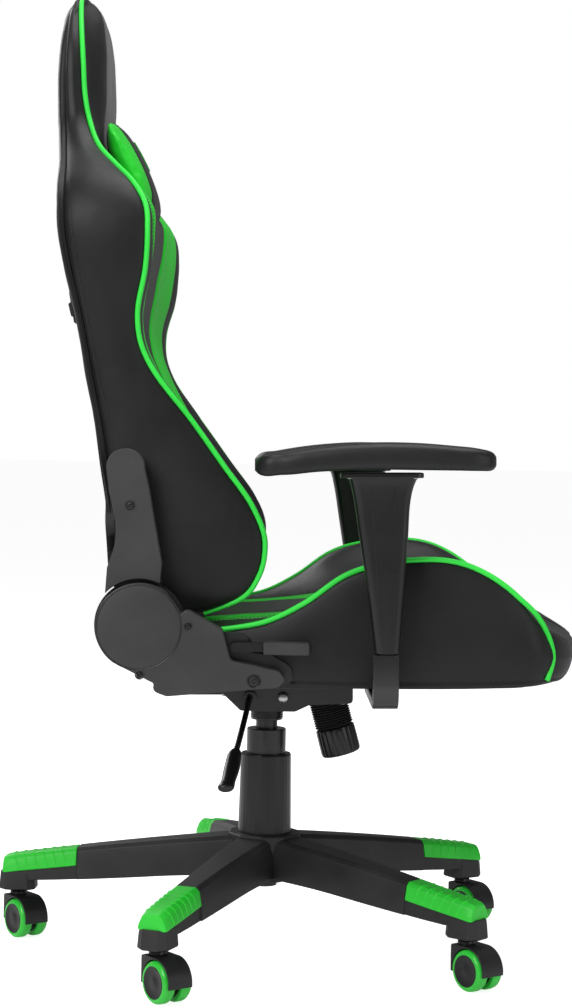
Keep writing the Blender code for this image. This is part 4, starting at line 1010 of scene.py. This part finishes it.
def back_line(z, spots, part, sign=1):
    """Points across the backrest at height z. part is front, out to the piping, or side,
    round to the rear."""
    wide, rear, edge, wing, middle = rows(BACK_ROWS, [z])[0]
    wing = edge + WING_CROWN * (wing - edge)
    c = min(0.012, 0.3 * wide)
    if part == "front":
        ctrl = [
            (0.0, middle), (0.34 * wide, middle), (
                0.58 * wide, middle + 0.18 * (wing - middle),
            ), (0.84 * wide, wing),
            (0.94 * wide, edge + 0.72 * (wing - edge)), (wide, edge),
        ]
    else:
        ctrl = [
            (wide, edge), (wide + 0.002, (edge + rear) / 2), (wide - 0.25 * c, rear + c),
            (wide - c, rear + 0.3 * c), (0.55 * wide, rear), (0.0, rear - 0.001),
        ]
    line = []
    for (y, x), s in zip(across(ctrl, np.abs(spots)), spots):
        y *= sign if s >= 0 else -sign
        # The left wing reaches further forward than the right one at chest height.
        ahead = min(1.0, max(0.0, (x - rear) / (edge - rear))) * min(1.0, max(0.0, (z - 0.70) / 0.16))
        x += TWIST * ahead * min(1.0, max(0.0, y) / 0.22) ** 1.5
        line.append((x, y, z))
    return line


def insert_start(z):
    """Where the green insert begins, as a spot for back_line. It widens inward at chest height."""
    return INSERT_START - INSERT_WIDENS * max(0.0, 1 - ((z - 0.85) / 0.20) ** 2)


def back_grid(zs, spots, part, sign=1):
    return [back_line(z, spots, part, sign) for z in zs]


def taper(zs, low, high, tail, start, end, away):
    """Grid rows whose inner border moves out to meet the outer one at the panel's two ends."""
    out = []
    for z in zs:
        near = min((z - low) / tail[0], (high - z) / tail[1], 1.0)
        ease = math.sqrt(max(0.0, 1 - (1 - near) ** 2))
        out.append((z, away + (start - away) * ease, away + (end - away) * ease))
    return out


def make_backrest():
    low, top = 0.4680, 1.2448
    zs = np.concatenate([np.linspace(0.4670, 1.20, 110), np.linspace(1.206, 1.2450, 12)])
    rings = []
    for z in zs:
        right, left = (
            back_line(z, np.linspace(0, 5, 30), "front", sign) + back_line(
                z, np.linspace(0.2, 5, 26), "side", sign,
            )
            for sign in (-1, 1)
        )
        rings.append(right + left[-2:0:-1])
    bm = bmesh.new()
    bm.from_mesh(loft("backrest_core", rings))
    for v in bm.verts:
        v.co -= v.normal * CORE_INSET
    core = mesh_object("backrest_core", to_mesh(bm, "backrest_core"), LEATHER, smooth=60)
    settle(core, "backrest", "black_leather", "backrest_cushion")

    neck = 1.0400
    body_zs = np.linspace(low, neck, 100)
    head_zs = np.linspace(neck, 1.2330, 34)
    every = np.concatenate([np.linspace(low, 1.20, 120), np.linspace(1.206, top, 10)])
    insert_low, insert_high = 0.4900, 1.0200
    pieces = [
        (
            "backrest_middle_panel",
            [
                back_line(
                    z, np.linspace(-insert_start(z), insert_start(z), 40), "front",
                ) for z in body_zs
            ],
            BACK_PERFORATED, 0.0040, 0.020, "black_leather",
        ),
        # The headrest's front panel is black leather with its sheen painted in as lighter grey.
        (
            "headrest_front_panel", back_grid(head_zs, np.linspace(-2.2, 2.2, 40), "front"),
            SHEEN_PAINTED_LEATHER, 0.0008, 0.014, "black_leather",
        ),
    ]
    rear = []
    for z in every:
        right, left = (back_line(z, np.linspace(2.0, 5.0, 30), "side", sign) for sign in (-1, 1))
        rear.append(right + left[-2::-1])
    pieces.append(("backrest_rear_panel", rear, LEATHER, 0.0012, 0.012, "black_leather"))
    for side, sign in SIDES:
        insert = []
        for z, start, end in taper(
            np.linspace(insert_low, insert_high, 90), insert_low, insert_high, (0.05, 0.09),
            INSERT_START, INSERT_END, 2.1,
        ):
            start -= (INSERT_START - insert_start(z)) * (end - start) / (INSERT_END - INSERT_START)
            insert.append(back_line(z, np.linspace(start, end, 18), "front", sign))
        pieces += [
            (f"backrest_insert_{side}", insert, GREEN_LEATHER, 0.0030, 0.014, "green_plastic"),
            (
                f"backrest_wing_{side}",
                back_grid(every, np.linspace(INSERT_START, 5.0, 34), "front", sign), LEATHER,
                0.0009, 0.012, "black_leather",
            ),
            (
                f"backrest_side_{side}", back_grid(every, np.linspace(0.0, 2.0, 24), "side", sign),
                LEATHER, 0.0058, 0.042, "black_leather",
            ),
        ]
    for name, grid, look, crown, edge, slot in pieces:
        lift = 0.0018 if "insert" in name else 0.0
        piece = panel(
            name, grid, look, BACK_CENTRE, crown=crown + lift, sink=0.0016 - lift, depth=0.004,
            edge=edge, folds=0.0008,
        )
        settle(piece, "backrest", slot)

    over = []
    for sign in (-1, 1):
        points = [Vector(back_line(z, [5.0], "front", sign)[0]) for z in every]
        points = [
            Vector(
                (
                    p.x + 0.0012, p.y + sign * 0.0010,
                    p.z + 0.0024 * min(1.0, max(0.0, (p.z - 1.195) / 0.035)),
                )
            ) for p in points
        ]
        over += points + [Vector((points[-1].x, 0.0, 1.2490))] if sign < 0 else points[::-1]
    pipe = mesh_object("backrest_piping", tube("piping", smooth_path(over, 420), PIPING_RADIUS), PIPING)
    settle(pipe, "backrest", "green_plastic")
    for side, sign in SIDES:
        seam = []
        for z in np.linspace(0.700, 1.045, 90):
            bend = max(0.0, (z - 0.975) / 0.070)
            p = back_line(z, [2.0 - 0.25 - 1.55 * bend**2], "side", sign)[0]
            seam.append(Vector((p[0], p[1] + sign * 0.0042, p[2])))
        settle(stitches(f"backrest_stitch_side_{side}", seam, THREAD), "backrest", "black_leather")
        for label in ("inner", "outer"):
            seam = []
            for z in np.linspace(0.520, 0.990, 110):
                spot = insert_start(z) - 0.09 if label == "inner" else 2.70
                seam.append(Vector(back_line(z, [spot], "front", sign)[0]))
            seam = [Vector((p.x + 0.0020, p.y, p.z)) for p in seam]
            settle(
                stitches(f"backrest_stitch_{label}_{side}", seam, THREAD), "backrest",
                "black_leather",
            )


# ---------------------------------------------------------------- head pillow

PILLOW_CUT = 0.098  # where the green ends begin, from the middle


def make_pillow():
    top, foot = Vector((-0.1895, 1.0790)), Vector((-0.1375, 0.9690))
    along = foot - top
    out = Vector((-along.y, along.x)).normalized()
    stations = (
        (0.0, 1.0, 1.0), (0.060, 1.0, 1.0), (0.100, 0.97, 0.99), (0.122, 0.86, 0.96),
        (0.132, 0.66, 0.91), (0.1365, 0.40, 0.86), (0.1378, 0.15, 0.80),
    )
    profile = (
        (0.00, 0.000), (0.10, 0.0060), (0.30, 0.0100), (0.55, 0.0105), (0.80, 0.0075), (1.00, 0.001),
        (0.98, -0.004), (0.80, -0.0130), (0.55, -0.0220), (0.30, -0.0230), (0.08, -0.008),
    )
    ys = np.concatenate([-np.array([s[0] for s in reversed(stations[1:])]), [s[0] for s in stations]])
    fine_ys = sorted(
        set(np.round(np.concatenate([np.linspace(ys[0], ys[-1], 60), [-PILLOW_CUT, PILLOW_CUT]]), 5))
    )
    closed = np.array(profile + profile[:3])
    rings = []
    for y in fine_ys:
        thick, tall = rows(stations, [min(abs(y), 0.1378)])[0]
        around = across(closed, np.linspace(1, len(profile) + 1, 49)[:-1])
        ring = []
        sag = min(0.009, 0.0050 * (abs(y) / 0.1) ** 2.2)
        for t, rise in around:
            fore = min(1.0, max(0.0, (rise + 0.020) / 0.020))
            point = top + along * (0.5 + (t - 0.5) * tall) + out * (rise * thick - sag * fore)
            ring.append((point.x, y, point.y))
        rings.append(ring)
    whole = loft("pillow", rings)
    source = mesh_object("head_pillow_body", whole, LEATHER, Matrix.Identity(4), 60)
    puff(source, 0.004, 1.2, 0.0035)
    tree = surface_tree(source.data)
    centre = Vector((-0.165, 0, 1.028))
    for name, low, high, look, slot in (
        ("head_pillow_middle", -PILLOW_CUT, PILLOW_CUT, LEATHER, "black_leather"),
        ("head_pillow_end_right", -1.0, -PILLOW_CUT, GREEN_LEATHER, "green_plastic"),
        ("head_pillow_end_left", PILLOW_CUT, 1.0, GREEN_LEATHER, "green_plastic"),
    ):
        bm = bmesh.new()
        bm.from_mesh(source.data)
        for limit, sign in ((low, -1), (high, 1)):
            geometry = bm.verts[:] + bm.edges[:] + bm.faces[:]
            cutting = bmesh.ops.bisect_plane(
                bm, geom=geometry, plane_co=(0, limit, 0), plane_no=(0, sign, 0), clear_outer=True,
            )
            open_edges = [e for e in cutting["geom_cut"] if isinstance(e, bmesh.types.BMEdge)]
            if open_edges:
                bmesh.ops.holes_fill(bm, edges=open_edges, sides=0)
        for v in bm.verts:
            near = abs(abs(v.co.y) - PILLOW_CUT)
            pull = 0.0022 * max(0.0, 1 - near / 0.006) ** 2
            flat = Vector((v.co.x - centre.x, 0, v.co.z - centre.z))
            v.co -= flat.normalized() * pull
        piece = mesh_object(name, to_mesh(bm, name), look, smooth=60)
        settle(piece, "backrest", slot, *(("head_pillow",) if name.endswith("middle") else ()))
    data = source.data
    bpy.data.objects.remove(source)
    inside = top + along * 0.5 - out * 0.010
    for side, sign in SIDES:
        ring = []
        for k in range(80):
            a = 2 * math.pi * k / 80
            far = Vector(
                (inside.x + 0.2 * math.cos(a), sign * PILLOW_CUT, inside.y + 0.2 * math.sin(a))
            )
            hit = tree.ray_cast(far, Vector((-math.cos(a), 0, -math.sin(a))), 0.2)[0]
            if hit:
                ring.append(hit)
        ring.append(ring[0])
        settle(
            mesh_object(f"head_pillow_seam_{side}", tube("seam", ring, 0.0013), THREAD), "backrest",
            "black_leather",
        )

    # A plain embroidered motif: three nested chevrons.
    bm = bmesh.new()
    for k in range(3):
        tip = 0.36 + 0.085 * k
        line = []
        for s in np.linspace(-1, 1, 41):
            t = tip - 0.14 * abs(s)
            at = top + along * t
            start = Vector((at.x, 0.026 * s * (1 + 0.12 * k), at.y)) + Vector((out.x, 0, out.y)) * 0.08
            hit = tree.ray_cast(start, Vector((-out.x, 0, -out.y)))[0]
            if hit:
                line.append(hit)
        if len(line) > 2:
            bm.from_mesh(tube("motif", smooth_path(line, 60), 0.0016))
    settle(
        mesh_object("head_pillow_motif", to_mesh(bm, "motif"), GREEN_THREAD), "backrest",
        "green_plastic",
    )
    bpy.data.meshes.remove(data)

    # Strap down the rear with its clip.
    strap = [
        (-0.2440, 1.0980), (-0.2610, 1.094), (-0.2582, 1.020), (-0.2557, 0.940), (-0.2477, 0.885),
        (-0.2407, 0.850), (-0.2312, 0.800),
    ]
    path = smooth_path([(x, 0, z) for x, z in strap], 70)
    rings = []
    for i, p in enumerate(path):
        q = path[min(i + 1, len(path) - 1)] - path[max(i - 1, 0)]
        n = Vector((-q.z, 0, q.x)).normalized() * 0.0009
        rings.append(
            [
                (p.x + n.x, -0.0122, p.z + n.z), (p.x + n.x, 0.0122, p.z + n.z), (p.x, 0.0125, p.z),
                (p.x - n.x, 0.0122, p.z - n.z), (p.x - n.x, -0.0122, p.z - n.z),
                (p.x, -0.0125, p.z),
            ]
        )
    settle(
        mesh_object("pillow_strap_band", loft("band", rings), WEBBING), "backrest", "strap_webbing",
        "pillow_strap",
    )
    clip = rounded(
        [
            (-0.2440, 0.874, 0.002), (-0.2530, 0.868, 0.003), (-0.2460, 0.826, 0.003),
            (-0.2372, 0.829, 0.002),
        ],
        4,
    )
    cut("pillow_strap_clip", clip, -0.0175, 0.0175, SMOOTH, (0.0016, 3), "backrest", "black_plastic")
    prong = rounded(
        [
            (-0.2460, 0.858, 0.002), (-0.2545, 0.853, 0.002), (-0.2505, 0.836, 0.002),
            (-0.2420, 0.838, 0.002),
        ],
        4,
    )
    cut(
        "pillow_strap_clip_prong", prong, -0.0110, 0.0110, WHEEL, (0.0012, 2), "backrest",
        "black_plastic",
    )


def puff(obj, voxel, pressure, cap):
    """Inflates a cushion's mesh a little with a short cloth simulation, and keeps the result."""
    scene = bpy.context.scene
    step = obj.modifiers.new("voxels", "REMESH")
    step.mode = "VOXEL"
    step.voxel_size = voxel
    bake(obj)
    rest = np.empty(len(obj.data.vertices) * 3, np.float64)
    obj.data.vertices.foreach_get("co", rest)
    cloth = obj.modifiers.new("cloth", "CLOTH")
    cloth.settings.use_pressure = True
    cloth.settings.uniform_pressure_force = pressure
    cloth.settings.effector_weights.gravity = 0.0
    cloth.settings.quality = 4
    cloth.settings.mass = 0.3
    cloth.point_cache.frame_start = 1
    cloth.point_cache.frame_end = 20
    for number in range(1, 21):
        scene.frame_set(number)
    bake(obj)
    scene.frame_set(1)
    now = np.empty_like(rest)
    obj.data.vertices.foreach_get("co", now)
    move = (now - rest).reshape(-1, 3)
    far = np.linalg.norm(move, axis=1, keepdims=True)
    move *= np.minimum(1.0, cap / np.maximum(far, 1e-9))
    obj.data.vertices.foreach_set("co", (rest.reshape(-1, 3) + move).ravel())
    obj.data.update()
    step = obj.modifiers.new("fine", "SUBSURF")
    step.levels = step.render_levels = 1
    bake(obj)


def bake(obj):
    """Replaces an object's mesh with its evaluated one and drops the modifiers."""
    bpy.context.view_layer.update()
    made = bpy.data.meshes.new_from_object(obj.evaluated_get(bpy.context.evaluated_depsgraph_get()))
    old = obj.data
    obj.modifiers.clear()
    obj.data = made
    bpy.data.meshes.remove(old)


# ---------------------------------------------------------------- recliner

AXIS = (-0.1474, 0.4568)
DISC = 0.0514
COVER_BACK, COVER_FACE = 0.2743, 0.3000  # the lower cover, from the chair's middle
BACK_COVER_BACK, BACK_COVER_FACE = 0.2630, 0.2920


def make_recliner():
    arm = [
        (-0.0950, 0.4795, 0.01), (-0.0497, 0.4536, 0.004), (-0.0395, 0.4170, 0.008), (0.0165, 0.4055, 0.010),
        (0.0250, 0.3945, 0.008), (0.0150, 0.3855, 0.008), (-0.1150, 0.3755, 0.010), (-0.1330, 0.3820, 0.010),
    ]
    lower = arc(AXIS, DISC, 234, 52, 40) + rounded(arm, 6)[1:]
    top = (-0.1635, 0.6430)
    foot = arc(AXIS, DISC + 0.0042, 136, 64, 24)
    front = [(-0.1209, 0.5310), (-0.1290, 0.5780), (-0.1356, 0.6182)]
    rear = [
        (-0.1826, 0.6150), (-0.1768, 0.5880), (-0.1745, 0.5680), (-0.1772, 0.5480),
        (-0.1850, 0.5260),
    ]
    front = [tuple(p) for p in across(front, np.linspace(0, 2, 12))]
    rear = [tuple(p) for p in across(rear, np.linspace(0, 4, 20))]
    upper = foot + front + arc(top, 0.0225, -2, 176, 20) + rear
    for side, sign in SIDES:
        low, high = sorted((sign * COVER_BACK, sign * COVER_FACE))
        cover = mesh_object(f"hinge_cover_{side}", slab("cover", lower, low, high), HINGE)
        round_edges(cover, 0.0026, 3, 40)
        settle(cover, "seat", "hinge_plastic", f"side_cover_{side}")
        face = HANG @ facing((AXIS[0], sign * COVER_FACE, AXIS[1]), (0, sign, 0))
        r = DISC - 0.0010
        cap = [
            (0, 0.0020), (0.030, 0.0018), (r - 0.0060, 0.0012), (r - 0.0026, 0.0004),
            (r - 0.0018, -0.0012), (r - 0.0018, -0.004), (0, -0.004),
        ]
        turned(f"hinge_disc_{side}", cap, 72, HINGE, "seat", "hinge_plastic", turn=face, smooth=40)
        rim = [
            (r - 0.0018, -0.0016), (r + 0.0004, -0.0016), (r + 0.0004, 0.0003),
            (r - 0.0004, 0.0006), (r - 0.0012, 0.0003), (r - 0.0018, -0.0004),
        ]
        turned(f"hinge_disc_rim_{side}", rim, 72, WHEEL, "seat", "black_plastic", turn=face, smooth=40)
        back_disc = [
            (0.0325, -0.0312), (0.0530, -0.0312), (0.0540, -0.0302), (0.0540, -0.0262),
            (0.0325, -0.0262),
        ]
        turned(
            f"hinge_backing_{side}", back_disc, 64, PAINT, "seat", "black_metal", turn=face,
            smooth=40,
        )
        low, high = sorted((sign * BACK_COVER_BACK, sign * BACK_COVER_FACE))
        cover = mesh_object(f"back_hinge_cover_{side}", slab("upper", upper, low, high), HINGE)
        round_edges(cover, 0.0030, 3, 40)
        settle(cover, "backrest", "hinge_plastic", f"back_cover_{side}")
        for index, (u, v, radius, at, body, look) in enumerate((
            (-0.0896, 0.4576, 0.0042, 0.3003, "seat", SMOOTH), (
                -0.1463, 0.4012, 0.0042, 0.3003, "seat", SMOOTH,
            ),
            (
                -0.1575, 0.5985, 0.0052, 0.2922, "backrest", WHEEL,
            ), (-0.0127, 0.3935, 0.0068, 0.3002, "seat", WHEEL),
        )):
            axis = (0, sign, 0)
            settle(
                screw(f"cover_screw_{index + 1}_{side}", (u, sign * at, v), axis, radius, look),
                body, "black_metal",
            )
            ring = [
                (radius + 0.0002, -0.002), (radius + 0.0016, -0.002), (radius + 0.0016, 0.0002),
                (radius + 0.0010, 0.0007), (radius + 0.0002, 0.0002),
            ]
            place = HANG @ facing((u, sign * at, v), axis)
            turned(
                f"cover_screw_ring_{index + 1}_{side}", ring, 28, HINGE if index != 3 else WHEEL,
                body, "hinge_plastic", turn=place,
            )

    shank = rounded(
        [
            (-0.0400, 0.4255, 0.006), (-0.0400, 0.4375, 0.006), (-0.0180, 0.4370, 0.004),
            (0.0010, 0.4366, 0.002), (0.0010, 0.4262, 0.002), (-0.0180, 0.4262, 0.004),
        ],
        5,
    )
    cut(
        "recline_lever_shank", shank, -0.2860, -0.2745, SMOOTH, (0.0016, 3), "recline_lever",
        "black_plastic", "recline_lever",
    )
    grip = rounded(
        [
            (-0.0020, 0.4238, 0.003), (0.0524, 0.4230, 0.003), (0.0524, 0.4375, 0.003),
            (-0.0020, 0.4382, 0.003),
        ],
        5,
    )
    cut(
        "recline_lever_grip", grip, -0.2990, -0.2745, GRIP, (0.0022, 3), "recline_lever",
        "hinge_plastic",
    )


# ---------------------------------------------------------------- armrests

ARM_X, ARM_Y = 0.142, 0.308


def make_arms():
    stations = (
        (0.4265, 0.1281, 0.1562, 0.0125), (0.5000, 0.1190, 0.1620, 0.0145), (
            0.5600, 0.1105, 0.1662, 0.0165,
        ),
        (0.6150, 0.1020, 0.1710, 0.0190), (0.6310, 0.0975, 0.1770, 0.0210), (
            0.6352, 0.0940, 0.1800, 0.0225,
        ),
    )
    shape = (
        (-0.0116, 0.020, 0.6400, 0.6480), (
            -0.0060, 0.034, 0.6352, 0.6545,
        ), (0.0200, 0.044, 0.6350, 0.6600),
        (0.0600, 0.047, 0.6385, 0.6665), (0.1000, 0.048, 0.6405, 0.6705), (0.1400, 0.048, 0.6410, 0.6722),
        (0.1800, 0.048, 0.6405, 0.6712), (0.2200, 0.046, 0.6400, 0.6680), (0.2500, 0.041, 0.6395, 0.6645),
        (0.2640, 0.030, 0.6410, 0.6600), (0.2678, 0.018, 0.6450, 0.6560),
    )
    for side, sign in SIDES:
        body = f"arm_{side}"
        rings = []
        for z in np.linspace(0.4265, 0.6352, 30):
            rear, front, half = rows(stations, [z])[0]
            plan = rounded(
                [
                    (rear, -half, 0.010), (front, -half, 0.010), (front, half, 0.010),
                    (rear, half, 0.010),
                ],
                6,
            )
            rings.append([(x, sign * ARM_Y + y, z) for x, y in plan])
        post = mesh_object(f"arm_sleeve_{side}", loft("sleeve", rings), SMOOTH, smooth=50)
        settle(round_edges(post, 0.0012, 2, 60), body, "black_plastic", f"arm_post_{side}")
        inner, outer, low, high = ARM_Y - 0.0105, ARM_Y + 0.0125, 0.3602, 0.3737
        elbow = rounded([
            (0.120, low, 0.0), (outer, low, 0.030), (outer, 0.4255, 0.002), (inner, 0.4255, 0.002),
            (inner, high, 0.012), (0.120, high, 0.0),
        ], 10)
        cut(
            f"arm_elbow_{side}", [(sign * y, z) for y, z in elbow], ARM_X - 0.0165, ARM_X + 0.0135,
            GLOSS, (0.0078, 6), "seat", "black_metal", f"arm_bracket_{side}", plane="YZ",
        )
        bar = rounded(
            [
                (-0.0095, -0.0060, 0.003), (0.0095, -0.0060, 0.003), (0.0095, 0.0060, 0.003),
                (-0.0095, 0.0060, 0.003),
            ],
            4,
        )
        piece = mesh_object(
            f"arm_bar_{side}",
            slab("bar", [(ARM_X + x, sign * ARM_Y + y) for x, y in bar], 0.400, 0.545, "XY"), PAINT,
        )
        settle(piece, "seat", "black_metal")
        for label, edge in (("front", 0.30), ("rear", 0.70)):
            line = []
            for z in np.linspace(0.440, 0.620, 20):
                rear, front, half = rows(stations, [z])[0]
                line.append((rear + (front - rear) * edge, sign * (ARM_Y + half - 0.0003), z))
            rib = mesh_object(
                f"arm_sleeve_rib_{label}_{side}", tube("rib", [Vector(p) for p in line], 0.0010, 3),
                SMOOTH,
            )
            settle(rib, body, "black_plastic")
        plate = rounded(
            [(0.088, -0.026, 0.01), (0.184, -0.026, 0.01), (0.184, 0.026, 0.01), (0.088, 0.026, 0.01)],
            6,
        )
        cut(
            f"arm_plate_{side}", [(x, y + sign * ARM_Y) for x, y in plate], 0.6312, 0.6372, PAINT,
            (0.0012, 2), body, "black_metal", plane="XY",
        )
        rings = []
        span = np.concatenate(
            [[-0.0116, -0.0100, -0.0080], np.linspace(-0.0050, 0.2600, 60), [0.2640, 0.2662, 0.2678]]
        )
        for x in span:
            half, low, high = rows(shape, [x])[0]
            c = 0.42 * (high - low)
            plan = rounded(
                [
                    (-half, low, 0.8 * c), (half, low, 0.8 * c), (half, high, 1.7 * c),
                    (0.0, high + 0.0006, 0.02), (-half, high, 1.7 * c),
                ],
                6,
            )
            rings.append([(x, sign * ARM_Y + y, z) for y, z in plan])
        pad = mesh_object(f"arm_pad_skin_{side}", loft("pad", rings), PAD, smooth=60)
        settle(pad, body, "arm_pad_foam", f"arm_pad_{side}")
        seam = []
        for x in np.linspace(0.004, 0.255, 60):
            half, low, high = rows(shape, [x])[0]
            seam.append(Vector((x, sign * ARM_Y + sign * (half - 0.0006), low + 0.36 * (high - low))))
        settle(
            mesh_object(f"arm_pad_parting_{side}", tube("parting", seam, 0.0006, 2), SMOOTH), body,
            "arm_pad_foam",
        )
        for index, x in enumerate((0.098, 0.174)):
            for row_sign in (-1, 1):
                name = f"arm_plate_screw_{2 * index + (row_sign + 1) // 2 + 1}_{side}"
                settle(
                    screw(
                        name, (x, sign * ARM_Y + row_sign * 0.0175, 0.6312), (0, 0, -1), 0.0038,
                        STEEL,
                    ),
                    body, "steel",
                )


# ---------------------------------------------------------------- floor, light and camera

FLOOR_HALF = 60.0
FLOOR_GLOW, FLOOR_GLOW_SEEN = 0.10, 0.72
WORLD_LIGHT = 0.17
LIGHTS = (  # name, place, size, power; all face the middle of the chair
    ("key", (-1.6, -2.6, 2.3), 1.6, 62.0), ("fill", (2.6, -2.2, 1.2), 1.6, 16.0),
    ("rim", (-1.8, 2.2, 2.2), 2.0, 50.0), ("top", (0.4, -0.1, 3.2), 2.0, 46.0),
)
LIGHTS_FACE = Vector((0, 0, 0.6))
CAMERA_PLACE = Vector((COLUMN_X - 0.0232, -2.849, 0.6529))
CAMERA_LENS, CAMERA_SENSOR = 77.957, 36.0
CAMERA_SHIFT = (0.0309, -0.0616)


def make_stage():
    """The pale floor, the white world, four soft lights and the camera."""
    look = plastic(
        "floor_pale", (0.84, 0.84, 0.84), (0.88, 0.88, 0.88), rough=0.7, strength=0.02, edge=0.0,
    )
    glow = look.node_tree.nodes["Principled BSDF"]
    glow.inputs["Emission Color"].default_value = (1.0, 1.0, 1.0, 1.0)
    nodes, links = look.node_tree.nodes, look.node_tree.links
    seen = nodes.new("ShaderNodeMath")
    seen.operation = "MULTIPLY_ADD"
    seen.inputs[1].default_value = FLOOR_GLOW_SEEN
    seen.inputs[2].default_value = FLOOR_GLOW
    links.new(nodes.new("ShaderNodeLightPath").outputs["Is Camera Ray"], seen.inputs[0])
    links.new(seen.outputs[0], glow.inputs["Emission Strength"])
    bm = bmesh.new()
    bmesh.ops.create_grid(bm, x_segments=2, y_segments=2, size=FLOOR_HALF)
    floor = mesh_object("floor", to_mesh(bm, "floor"), look, Matrix.Identity(4), None)
    world = bpy.data.worlds.new("studio")
    bpy.context.scene.world = world
    world.use_nodes = True
    # The backdrop is white, and lights the chair less than it shows.
    tree = world.node_tree
    dim = tree.nodes["Background"]
    dim.inputs["Color"].default_value = (1.0, 1.0, 1.0, 1)
    dim.inputs["Strength"].default_value = WORLD_LIGHT
    bright = tree.nodes.new("ShaderNodeBackground")
    bright.inputs["Color"].default_value = (1.0, 1.0, 1.0, 1)
    mix = tree.nodes.new("ShaderNodeMixShader")
    tree.links.new(tree.nodes.new("ShaderNodeLightPath").outputs["Is Camera Ray"], mix.inputs[0])
    tree.links.new(dim.outputs[0], mix.inputs[1])
    tree.links.new(bright.outputs[0], mix.inputs[2])
    tree.links.new(mix.outputs[0], tree.nodes["World Output"].inputs["Surface"])
    for name, place, size, power in LIGHTS:
        light = bpy.data.lights.new(name, "AREA")
        light.size = size
        light.energy = power
        holder = bpy.data.objects.new(name, light)
        bpy.context.scene.collection.objects.link(holder)
        holder.location = place
        holder.rotation_mode = "QUATERNION"
        holder.rotation_quaternion = (LIGHTS_FACE - Vector(place)).to_track_quat("-Z", "Y")
    camera = bpy.data.objects.new("camera", bpy.data.cameras.new("camera"))
    bpy.context.scene.collection.objects.link(camera)
    camera.data.lens = CAMERA_LENS
    camera.data.sensor_width = CAMERA_SENSOR
    camera.data.sensor_fit = "AUTO"
    camera.data.shift_x, camera.data.shift_y = CAMERA_SHIFT
    roll = Matrix.Rotation(math.pi / 2, 4, "X") @ Matrix.Rotation(REST_LEAN, 4, "Z")
    camera.matrix_world = Matrix.Translation(CAMERA_PLACE) @ roll
    bpy.context.scene.camera = camera
    bpy.context.scene.view_settings.view_transform = "Standard"


make_stage()
make_base()
make_casters()
make_mechanism()
make_seat()
make_backrest()
make_pillow()
make_recliner()
make_arms()
